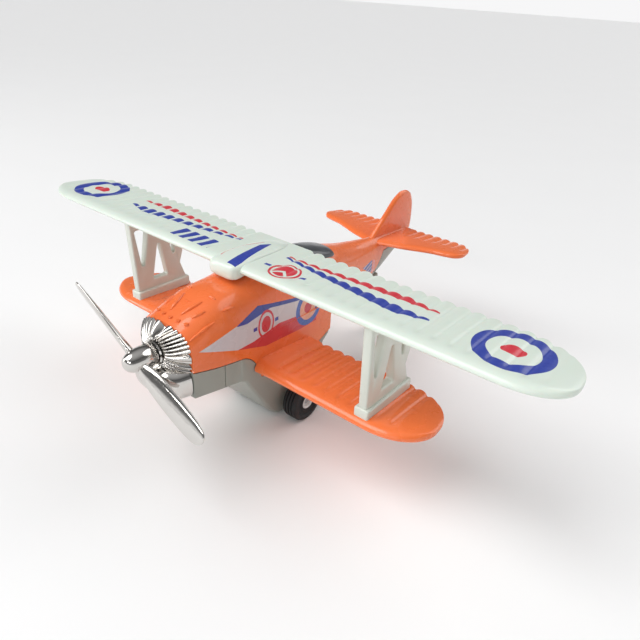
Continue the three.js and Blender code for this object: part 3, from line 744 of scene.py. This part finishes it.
def tailplane():
    """Swept tailplane with grooves over the rear part of its chord."""
    lead_table = np.array([[0, 39.6], [3, 40.8], [11, 43.6], [22, 48.4], [27, 49.7], [32, 55]])
    tip, tip_y, straight_to, trail_y, middle = 32.0, 56, 27, 64.4, 41.6
    half = np.concatenate([np.arange(0, tip - 0.4, 0.35), tip - np.array([0.25, 0.08, 0.02])])
    section = wing_section(0.42, 48)
    start = np.clip((section[:, 0] - 0.55) / 0.15, 0, 1)
    rings = []
    for x in both_sides(half):
        reach = abs(x)
        lead = curve_through(lead_table, np.array([min(reach, straight_to)]))[0, 0]
        lead = tip_y + (lead - tip_y) * corner(reach, tip, 6, 2.2)
        groove = np.clip((reach - 3) / 3, 0, 1) * groove_at(reach, 3, TAIL_RIB_PITCH)
        trail = tip_y + (trail_y - tip_y) * corner(reach, tip, 7, 2) - 0.9 * groove
        chord = max(trail - lead, 0.2)
        thick = 2.0 * min(1, (chord / 14) ** 0.4)
        rings.append(foil_ring(section, x, lead, chord, middle, thick, 0.4 * groove * start))
    return loft("tailplane", rings, 50)


def fin():
    """Upright fin with a rounded, thinned edge."""
    edge = np.array([
        [0, 36, 41], [1, 40, 43.6], [2, 48.5, 50.9], [3, 54.5, 55.8], [4, 59.8, 57.7], [5, 64.5, 56.4],
        [6, 67.4, 50.5], [7, 67.8, 45], [8, 67.3, 41], [9, 60, 39.9],
    ])
    line = curve_through(edge, np.linspace(0, 9, 90))
    middle = np.array([57.0, 46.0])
    levels = [(-1.15, -1.6), (-1.05, -0.9), (-0.7, -0.3), (0, 0), (0.7, -0.3), (1.05, -0.9), (1.15, -1.6)]
    skins = []
    inward = middle - line
    inward /= np.linalg.norm(inward, axis=1)[:, None]
    for x, outset in levels:
        skins.append(np.column_stack([np.full(len(line), x), line - inward * outset]))
    return loft("fin", skins, 50)


def nose_top(x, y):
    """Height of the body's top at a place."""
    half, top, belly, square = curve_through(STATIONS, np.array([y]))[0]
    share = min(1, abs(x) / half)
    return (top + belly) / 2 + (top - belly) / 2 * (1 - share**square) ** (1 / square)


def bead(name, start, end, radius):
    """A raised bead that follows the top of the nose between two (x, y) points."""
    count, around = 16, 12
    share = np.linspace(0, 1, count)
    plan = np.array(start) + (np.array(end) - np.array(start)) * share[:, None]
    along = (np.array(end) - np.array(start)) / math.dist(start, end)
    side = np.array([-along[1], along[0]])
    turn = np.arange(around) / around * 2 * math.pi
    rings = []
    for (x, y), part in zip(plan, share):
        size = radius * max(0.15, math.sin(math.pi * part)) ** 0.35
        ground = nose_top(x, y)
        spots = np.array([x, y]) + np.cos(turn)[:, None] * side * size
        rings.append(np.column_stack([spots, ground + np.sin(turn) * size]))
    return loft(name, rings, 60)


def hood_details():
    """Studs, rocker beads and shoulder beads moulded on the nose."""
    pieces = []
    for i, x in enumerate((-5.6, -2.9, 0, 2.9, 5.6)):
        y = -52.7 + 0.02 * x * x
        ground = nose_top(x, y)
        pieces.append(rod(f"stud_{i}", 0.6, 2, ground - 1, ground + 0.35, (x, y, 0), 24))
    # Each bead: start x and y, end x and y, radius; drawn on both sides.
    beads = [
        (2.0, -50.9, 3.6, -45.0, 0.6), (5.4, -50.0, 6.4, -46.4, 0.5), (8.8, -54.0, 9.2, -45.8, 0.42),
        (8.6, -42.2, 8.8, -38.4, 0.42), (3.6, -42.4, 5.6, -42.0, 0.42),
    ]
    for side in (-1, 1):
        for x0, y0, x1, y1, radius in beads:
            pieces.append(bead("bead", (side * x0, y0), (side * x1, y1), radius))
    return pieces


def at_screws(name, radius, low, high):
    """Upright rods on both chassis screws."""
    return [rod(f"{name}_{i}", radius, 2, low, high, (0, y, 0)) for i, y in enumerate(SCREW_Y)]


def at_struts(name, low, high):
    """Upright rods for the peg holes of both struts."""
    places = [(side * STRUT_X, y) for side in (-1, 1) for y in STRUT_PEGS]
    return [rod(f"{name}_{i}", PEG_HOLE_R, 2, low, high, (x, y, 0)) for i, (x, y) in enumerate(places)]


def at_cabane(name, radius, low, high):
    """Upright rods for the pegs that carry the middle of the upper wing."""
    return [rod(f"{name}_{i}", radius, 2, low, high, (0, y, 0)) for i, y in enumerate(CABANE_PEGS)]


def casting_skin():
    """Body, lower wing and tail in one casting, hollow over the motor."""
    skin = body_form("casting")
    skirt = block("skirt", (-10.6, -38, 20.3), (10.6, 4, 34))
    combine(skin, [skirt, wing("wing_part", LOWER, root_lift)], "UNION")
    inner = body_form("inner", WALL, NOSE_Y + WALL, 48, 0, 64, 60)
    slab = below_seam("slab", 0, 10.9)
    room = block("room", (-9, -36.5, 10), (9, 2.5, 34))
    combine(skin, [inner, slab, room], "DIFFERENCE")
    posts = [rod(f"post_{i}", 2.8, 2, 30.2, nose_top(0, y) - 0.8, (0, y, 0)) for i, y in enumerate(SCREW_Y)]
    combine(skin, [tailplane(), fin(), *posts, *hood_details()], "UNION")
    holes = at_screws("pilot", 1.35, 22, 40)
    holes.append(rod("bush_hole", 2.5, 1, NOSE_Y - 2, BUSH_BACK_Y + 1, (0, 0, SHAFT_Z)))
    holes += at_cabane("socket", 1.6, 46, 56)
    holes += at_struts("strut_hole", 20, 30)
    return combine(skin, holes, "DIFFERENCE", 38)


def motor_bay():
    """The keel-shaped housing under the body."""
    outline = [
        (-38, 22.3), (-35.5, 20.9), (-24.5, 4), (-21.5, 1.4), (-8.5, 1.4), (-5.5, 4), (1, 19.5), (4, 21.8),
        (4, 34), (-38, 34),
    ]
    bay = rounded_slab("bay", outline, -10.6, 10.6, 1.1)
    return combine(bay, [below_seam("trim", PART_GAP, 30)], "INTERSECT")


def tail_leg():
    """Leg with a round foot, slotted for the tail wheel."""
    foot = arc((TAIL_Y, TAIL_Z), 2.4, 180, 360, 13)
    leg = rounded_slab("leg", [(33.5, 27), (44.8, 5.2), *foot, (50.4, 5.5), (43.3, 29)], -3, 3, 0.5)
    return combine(leg, [block("slot", (-1.8, 40, -1), (1.8, 56, TAIL_Z + 4.6))], "DIFFERENCE")


def chassis_skin():
    """Belly pan with its nose panel, motor bay, screw bosses and tail leg."""
    belly = body_form("chassis")
    panel_outline = [(NOSE_Y, 25.6), (-37.4, 22.3), (-33, 22.3), (-33, 34), (NOSE_Y, 34)]
    combine(belly, [rounded_slab("panel", panel_outline, -10.4, 10.4, 0.35)], "UNION")
    combine(belly, [below_seam("lower_half", PART_GAP, 30)], "INTERSECT")
    tub = body_form("tub", 1.4, NOSE_Y + 1.4, 41, 12, 64, 60)
    hollow = [(-34, 22), (-24, 6.6), (-22, 2.6), (-8, 2.6), (-6, 6.6), (-1.5, 22), (-1.5, 44), (-34, 44)]
    inside = side_slab("inside", hollow, -9.2, 9.2)
    combine(belly, [motor_bay()], "UNION")
    combine(belly, [tub, inside], "DIFFERENCE")
    combine(belly, [tail_leg(), *at_screws("boss", 3.3, 24.8, 29.6)], "UNION")
    holes = [
        rod("axle_hole", AXLE_HOLE_R, 0, -12, 12, (0, AXLE_Y, AXLE_Z)),
        rod("tail_hole", TAIL_HOLE_R, 0, -6, 6, (0, TAIL_Y, TAIL_Z)),
    ]
    holes += at_screws("bore", 1.5, 15, 40)
    holes += at_screws("counter", 2.6, 15, 26)
    holes += [block("joint_line", (x - 0.3, -43.75, 10), (x + 0.3, -43.4, 34)) for x in (-10.5, 10.5)]
    return combine(belly, holes, "DIFFERENCE", 38)


def upper_wing_skin():
    """Upper wing with its centre fairing, cabane pegs and strut pockets."""
    # Rows of y, half width, top, foot and squareness.
    table = [
        [-35.2, 3.2, 55, 52.6, 4], [-34.6, 4.6, 55.9, 51.8, 4], [-33, 5.4, 56.4, 51.5, 4],
        [-26, 5.2, 56.8, 52.3, 4], [-15, 4.4, 56.5, 52.3, 3.6], [-9, 3.2, 55.2, 52.4, 3.2],
        [-6.5, 1.6, 53.8, 52.6, 2.6],
    ]
    fairing = loft("fairing", oval_rings(smooth_table(table, 90), 0, 96))
    skin = wing("upper_wing_skin", UPPER, no_lift)
    combine(skin, [fairing, *at_cabane("peg", 1.3, 48.6, 54)], "UNION")
    return combine(skin, at_struts("pocket", 50, 54.2), "DIFFERENCE", 38)


def canopy_skin():
    """Low rounded canopy that sits on the body."""
    table = [
        [-5.5, 4.8, 52, 45, 2.4], [-2, 5.8, 51.9, 44.6, 2.4], [3, 6.2, 51.1, 44.2, 2.3],
        [8, 6, 49.8, 44, 2.3], [10.2, 5.6, 49.1, 44, 2.3],
    ]
    dome = loft("canopy_skin", oval_rings(smooth_table(table, 50), 0, 96))
    return combine(dome, [body_form("clear", -0.25)], "DIFFERENCE")


# ---- nose
def cowl_dish():
    """Dish of radial fins from the round collar to the squarish nose."""
    steps_per_fin = 12
    turn = np.arange(COWL_FINS * steps_per_fin) / (COWL_FINS * steps_per_fin) * 2 * math.pi
    around = np.column_stack([np.cos(turn), np.sin(turn)])
    edge = squared(around, OVAL) * (COWL_HALF, COWL_RISE)
    collar = around * COLLAR_R
    groove = 1 - np.abs(np.cos(turn * COWL_FINS / 2)) ** 0.6
    rings = []
    for s in np.linspace(0, 1, 22):
        deep = 0.15 * min(1, s * 5) * groove
        spot = (collar + (edge - collar) * s) * (1 - deep)[:, None]
        back = 1.1 * groove * math.sin(math.pi * min(1, 0.9 * s + 0.1))
        y = -58.6 + 3.7 * s**1.9 + 0.2 * s + back
        rings.append(np.column_stack([spot[:, 0], y, SHAFT_Z + spot[:, 1]]))
    return loft("cowl_skin", rings, 60)


def cowl_chin():
    """Smooth bowl below the fins, blunt at its front."""
    table = np.array([
        [-61.2, 4.6, 33, 27.4, OVAL], [-60.4, 7.2, 34, 25.8, OVAL],
        [-58, 9.2, 34.6, 24.9, OVAL], [-54.9, 10.2, 35, 24.7, OVAL],
    ])
    at = -61.2 + 6.3 * np.linspace(0, 1, 40) ** 1.6
    return loft("chin", oval_rings(np.column_stack([at, curve_through(table, at)]), 0, 96))


def cowl_skin():
    """Finned cowl with its chin, bored for the bush."""
    dish = combine(cowl_dish(), [cowl_chin()], "UNION", 50)
    hole = rod("cowl_hole", 2.5, 1, -62, -50, (0, 0, SHAFT_Z))
    room = rod("cowl_room", 4.4, 1, -70, -58.7, (0, 0, SHAFT_Z), 64)
    return combine(dish, [hole, room], "DIFFERENCE", 50)


def blade(name, turn):
    """One twisted blade, turned about the shaft."""
    # Rows of radius, half width, half thickness and pitch in degrees.
    rows = np.array([
        [1.5, 1.2, 1.1, -40], [5, 2.3, 1, -32], [10, 2.9, 0.9, -27], [16, 3.1, 0.8, -25],
        [21, 3.0, 0.7, -23], [25.3, 2.5, 0.55, -21], [27.1, 1.6, 0.4, -20], [27.7, 0.4, 0.2, -20],
    ])
    at = BLADE_ROOT + BLADE_RUN * np.sin(np.linspace(0, math.pi / 2, 60))
    around = np.arange(40) / 40 * 2 * math.pi
    rings = []
    for r, (wide, thick, pitch) in zip(at, curve_through(rows, at)):
        u, v = wide * np.cos(around), thick * np.sin(around)
        tilt = math.radians(pitch)
        x = u * math.cos(tilt) - v * math.sin(tilt)
        y = u * math.sin(tilt) + v * math.cos(tilt)
        out = np.full_like(x, r)
        rings.append(np.column_stack([
            x * math.cos(turn) + out * math.sin(turn), PROP_Y + y,
            SHAFT_Z - x * math.sin(turn) + out * math.cos(turn),
        ]))
    return loft(name, rings, 60)


def propeller_skin():
    """Pointed boss with two blades, bored for the shaft."""
    sweep = np.linspace(0, math.pi / 2, 18)
    nose = [(BOSS_R * math.cos(a) ** 0.7, PROP_TIP + 5.2 * (1 - math.sin(a))) for a in sweep]
    nose[-1] = (0, PROP_TIP)
    profile = [(0, PROP_BACK), (BOSS_R - 0.2, PROP_BACK), (BOSS_R, PROP_BACK - 0.2)] + nose
    boss = turned("propeller_skin", profile, 1, (0, 0, SHAFT_Z), 96, 50)
    combine(boss, [blade("blade_a", BLADE_LEAN), blade("blade_b", BLADE_LEAN + math.pi)], "UNION", 50)
    return combine(boss, [rod("prop_bore", 1.15, 1, -64.5, -58, (0, 0, SHAFT_Z))], "DIFFERENCE", 50)


# ---- struts
def window_cutter(name, corners, low, high):
    """Tool for a three-cornered window: corners are arcs and both rims are rounded over."""
    soft, steps = 0.6, 6
    spots = np.array(corners, float)
    a, b, c = spots
    if (b[0] - a[0]) * (c[1] - a[1]) < (b[1] - a[1]) * (c[0] - a[0]):
        spots = spots[::-1]
    sides = np.array([math.dist(spots[(i + 1) % 3], spots[(i + 2) % 3]) for i in range(3)])
    heart = (spots * sides[:, None]).sum(axis=0) / sides.sum()
    half = sides.sum() / 2
    reach = math.sqrt(np.prod(half - sides) / half)
    centres = heart + (spots - heart) * (1 - soft / reach)
    plan = []
    for i in range(3):
        before = spots[i] - spots[i - 1]
        after = spots[(i + 1) % 3] - spots[i]
        start = math.atan2(-before[0], before[1])
        turn = (math.atan2(-after[0], after[1]) - start) % (2 * math.pi)
        plan += [(centres[i], start + turn * k / steps) for k in range(steps + 1)]
    levels = [(low - 1, 0.5), (low, 0.5), (low + 0.07, 0.3), (low + 0.25, 0.1), (low + 0.5, 0)]
    levels += [(high - 0.5, 0), (high - 0.25, 0.1), (high - 0.07, 0.3), (high, 0.5), (high + 1, 0.5)]
    rings = []
    for x, grow in levels:
        size = soft + grow
        rings.append([(x, spot[0] + size * math.cos(t), spot[1] + size * math.sin(t)) for spot, t in plan])
    return loft(name, rings, 40)


def strut_skin(name, side):
    """Plate with three windows, rounded edges, a wider foot and the pegs that hold it."""
    plate_outline = [(-30.4, 28.2), (-31.7, 53.6), (-9.1, 53.6), (-10.8, 38.7), (-12.2, 34.6), (-9.8, 28.2)]
    windows = [
        [(-29.9, 50.6), (-24.6, 50.6), (-27.7, 34.6)],
        [(-20.7, 46.8), (-24, 31.8), (-17.9, 31.6)],
        [(-17.4, 49.8), (-13.6, 49.8), (-14.5, 34.8)],
    ]
    low, high = sorted((side * STRUT_IN, side * STRUT_OUT))
    plate = rounded_slab(name, plate_outline, low, high, 0.55)
    combine(plate, [window_cutter(f"window_{i}", w, low, high) for i, w in enumerate(windows)], "DIFFERENCE")
    foot = block("foot", (low - 0.9, -31, 25.2), (high + 0.9, -9.2, 28.7))
    bevelled(foot, 0.55)
    middle = (low + high) / 2
    combine(plate, [foot], "UNION", 50)
    combine(plate, [wing("above", UPPER, no_lift), wing("below", LOWER, root_lift)], "DIFFERENCE", 50)
    pegs = []
    # Upper peg, lower peg and rivet head: radius, low and high end.
    for radius, bottom, top in ((1, 51.5, 54), (1, 22.4, 27.5), (1.9, 21.6, 22.6)):
        pegs += [rod("peg", radius, 2, bottom, top, (middle, y, 0)) for y in STRUT_PEGS]
    return combine(plate, pegs, "UNION", 50)


# ---- wheels
def tyre_skin(name, side):
    """Road tyre with three tread grooves and a recessed outer face."""
    a, b, big, shoulder = TYRE_INNER, TYRE_OUTER, TYRE_R, 0.9
    inner = HUB_R + 0.15
    profile = [(inner, a + 0.2), (inner + 1.2, a + 0.2), (inner + 1.6, a)]
    profile += arc((big - shoulder, a + shoulder), shoulder, -90, 0)
    for x in (14.3, 15.45, 16.6):
        profile += [(big, x - 0.22), (big - 0.35, x - 0.12), (big - 0.35, x + 0.12), (big, x + 0.22)]
    profile += arc((big - shoulder, b - shoulder), shoulder, 0, 90)
    profile += [(5.3, b), (4.9, b - 0.5), (3.5, b - 0.5), (3.1, b - 0.15), (inner, b - 0.15)]
    profile = [(r, side * x) for r, x in profile]
    return turned(name, profile, 0, (0, AXLE_Y, AXLE_Z), 96, 35)


def hub_skin(name, side):
    """Hub with a raised ring round its recessed face."""
    a, b, bore = TYRE_INNER + 0.1, TYRE_OUTER - 0.2, 1.15
    profile = [(bore, a - 1), (RIM_R, a - 1), (RIM_R, a), (HUB_R, a), (HUB_R, b - 0.15), (HUB_R - 0.15, b)]
    profile += [(RIM_R, b), (RIM_R - 0.15, b - 0.15), (RIM_R - 0.2, b - 0.8), (bore, b - 0.8)]
    profile = [(r, side * x) for r, x in profile]
    return turned(name, profile, 0, (0, AXLE_Y, AXLE_Z), 96, 30)


def tail_wheel_skin():
    """Small wheel with rounded shoulders and a raised rim."""
    w, big, shoulder = TAIL_WHEEL_HALF, TAIL_WHEEL_R, 0.6
    profile = [(0.85, -w * 0.8), (2.0, -w * 0.8), (2.3, -w)]
    profile += arc((big - shoulder, -w + shoulder), shoulder, -90, 0)
    profile += arc((big - shoulder, w - shoulder), shoulder, 0, 90)
    profile += [(2.3, w), (2.0, w * 0.8), (0.85, w * 0.8)]
    return turned("tail_wheel_skin", profile, 0, (0, TAIL_Y, TAIL_Z), 72, 35)


# ---- CAD nodes that are kept
def keep(node, material, edge=0.0):
    """Finish a CAD node, with softened edges where it has an edge width."""
    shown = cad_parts[node]
    shown.data.materials.clear()
    shown.data.materials.append(material)
    if edge:
        flat = shown.modifiers.new("flats", "DECIMATE")
        flat.decimate_type = "DISSOLVE"
        flat.angle_limit = math.radians(3)
        soft = shown.modifiers.new("edges", "BEVEL")
        soft.width = edge * MM
        soft.segments = 3
        soft.limit_method = "ANGLE"
        soft.angle_limit = math.radians(38)
    fair = shown.modifiers.new("normals", "WEIGHTED_NORMAL")
    fair.keep_sharp = True


# ---- assembly
white_plain = moulded("strut_white", "CFD3C9", 0.34, 0.02, 0.3)
grey_plastic = moulded("chassis_grey", "9C9E95", 0.4, 0.03, 0.15)
dark_plastic = moulded("canopy_dark", "3F4347", 0.3, 0.02, 0.4)
black_rubber = moulded("tyre_rubber", "1B1B1D", 0.62, 0.04)
cream_plastic = moulded("motor_cream", "DAD3C1", 0.45)
hub_white = moulded("hub_white", "D5D8D6", 0.3, 0.01, 0.4)
chrome = plated("bright_plating", "D2CFCB", 0.09)
steel_x = drawn_metal("steel_cross", "A9ABAE", 0.28, 0)
steel_y = drawn_metal("steel_long", "A9ABAE", 0.28, 1)
screw_steel = drawn_metal("steel_screw", "9C9EA2", 0.32, 2)
spring_steel = drawn_metal("spring_blue", "4A5160", 0.35, 0)
brass = drawn_metal("gear_brass", "C49A4E", 0.3, 0)

mount(casting_skin(), BODY, ["body_casting"], casting_finish())
mount(chassis_skin(), BODY, ["chassis_base"], grey_plastic)
mount(upper_wing_skin(), BODY, ["upper_wing"], wing_finish())
mount(canopy_skin(), BODY, ["canopy"], dark_plastic)
mount(cowl_skin(), BODY, ["engine_cowl"], chrome)
mount(propeller_skin(), "propeller", ["propeller"], chrome)
for side, word in ((1, "left"), (-1, "right")):
    mount(tyre_skin(f"tyre_skin_{word}", side), "wheelset", [f"tyre_{word}"], black_rubber)
    mount(hub_skin(f"hub_skin_{word}", side), "wheelset", [f"wheel_hub_{word}"], hub_white)
    mount(strut_skin(f"strut_skin_{word}", side), BODY, [f"strut_{word}"], white_plain)
mount(tail_wheel_skin(), "tail_wheel", ["tail_wheel"], black_rubber)
for node, finish, edge in (
    ("nose_bush", chrome, 0),
    ("propeller_shaft", steel_y, 0),
    ("motor_case", cream_plastic, 0.25),
    ("motor_cover", cream_plastic, 0.2),
    ("spring_gear", cream_plastic, 0),
    ("mainspring", spring_steel, 0),
    ("axle_pinion", brass, 0),
    ("main_axle", steel_x, 0),
    ("tail_axle", steel_x, 0),
    ("screw_front", screw_steel, 0),
    ("screw_rear", screw_steel, 0),
):
    keep(node, finish, edge)


# ---- floor, light and camera
def floor():
    """A plain pale sheet under the model."""
    finish = Finish("studio_floor", 0.6)
    finish.set("Base Color", finish.mottled((0.88, 0.88, 0.88, 1), 0.01, 60))
    half = 12000
    corners = [(-half, -half, 0), (half, -half, 0), (half, half, 0), (-half, half, 0)]
    mesh = bpy.data.meshes.new("floor")
    mesh.from_pydata((np.array(corners, float) * MM).tolist(), [], [(0, 1, 2, 3)])
    sheet = bpy.data.objects.new("floor", mesh)
    bpy.context.scene.collection.objects.link(sheet)
    mesh.materials.append(finish.material)


def sun(name, toward, strength, spread):
    """Even, soft light that comes from a direction."""
    lamp = bpy.data.lights.new(name, "SUN")
    lamp.energy = strength
    lamp.angle = math.radians(spread)
    light = bpy.data.objects.new(name, lamp)
    bpy.context.scene.collection.objects.link(light)
    light.rotation_euler = Vector(toward).to_track_quat("Z", "Y").to_euler()


def softbox(name, at, aim, size, power):
    """A lit panel aimed at a point."""
    lamp = bpy.data.lights.new(name, "AREA")
    lamp.shape = "RECTANGLE"
    lamp.size, lamp.size_y = (s * MM for s in size)
    lamp.energy = power
    light = bpy.data.objects.new(name, lamp)
    bpy.context.scene.collection.objects.link(light)
    light.location = Vector(at) * MM
    light.rotation_euler = (Vector(aim) - Vector(at)).to_track_quat("-Z", "Y").to_euler()


def sky():
    """Plain and pale behind the model; reflections meet a sky that dims above the horizon."""
    world = bpy.data.worlds.new("studio")
    bpy.context.scene.world = world
    world.use_nodes = True
    nodes, links = world.node_tree.nodes, world.node_tree.links
    place = nodes.new("ShaderNodeTexCoord")
    split = nodes.new("ShaderNodeSeparateXYZ")
    ramp = nodes.new("ShaderNodeValToRGB")
    links.new(place.outputs["Generated"], split.inputs[0])
    links.new(split.outputs["Z"], ramp.inputs[0])
    stops = ramp.color_ramp.elements
    for _ in range(len(SKY) - 2):
        stops.new(0.5)
    for stop, (height, grey) in zip(stops, SKY):
        stop.position = height
        stop.color = (grey, grey, grey * 1.01, 1)
    nodes["Background"].inputs["Strength"].default_value = 1
    path = nodes.new("ShaderNodeLightPath")
    backdrop = nodes.new("ShaderNodeMix")
    backdrop.data_type = "RGBA"
    links.new(path.outputs["Is Camera Ray"], backdrop.inputs["Factor"])
    links.new(ramp.outputs[0], backdrop.inputs["A"])
    backdrop.inputs["B"].default_value = BACKDROP
    links.new(backdrop.outputs["Result"], nodes["Background"].inputs["Color"])


def camera():
    """The camera at the photograph's view."""
    azimuth, elevation, roll = (math.radians(v) for v in VIEW_ANGLES)
    target = Vector(VIEW_TARGET)
    level = math.cos(elevation)
    back = Vector((math.sin(azimuth) * level, -math.cos(azimuth) * level, math.sin(elevation)))
    right0 = Vector((math.cos(azimuth), math.sin(azimuth), 0))
    up0 = back.cross(right0)
    right = right0 * math.cos(roll) + up0 * math.sin(roll)
    up = up0 * math.cos(roll) - right0 * math.sin(roll)
    lens = bpy.data.cameras.new("camera")
    lens.sensor_width, lens.lens = 36, 32.77
    lens.shift_x, lens.shift_y = -0.0119, 0.0022
    lens.clip_start, lens.clip_end = 0.01, 20
    shot = bpy.data.objects.new("camera", lens)
    bpy.context.scene.collection.objects.link(shot)
    place = Matrix((right, up, back)).transposed().to_4x4()
    place.translation = (target + back * VIEW_DISTANCE) * MM
    shot.matrix_world = place
    bpy.context.scene.camera = shot


# Azimuth, elevation and roll in degrees, distance and target in millimetres.
VIEW_ANGLES = (36.53, 29.35, 3.94)
VIEW_DISTANCE = 215.9
VIEW_TARGET = (0, 16.65, 16.66)
BACKDROP = (0.93, 0.93, 0.935, 1)
# Sky brightness: sine of the elevation, grey.
SKY = [(0.0, 0.98), (0.05, 0.9), (0.16, 0.2), (0.6, 0.1), (1.0, 0.5)]

floor()
sky()
sun("key", (-0.45, -0.55, 1.0), 1.9, 45)
sun("back", (0.5, 1.0, 0.9), 1.0, 50)
softbox("strip_left", (-520, -420, 260), (0, -30, 30), (90, 520), 1.0)
softbox("strip_front", (160, -620, 330), (0, -30, 30), (420, 60), 0.9)
camera()
bpy.context.scene.view_settings.view_transform = "Standard"
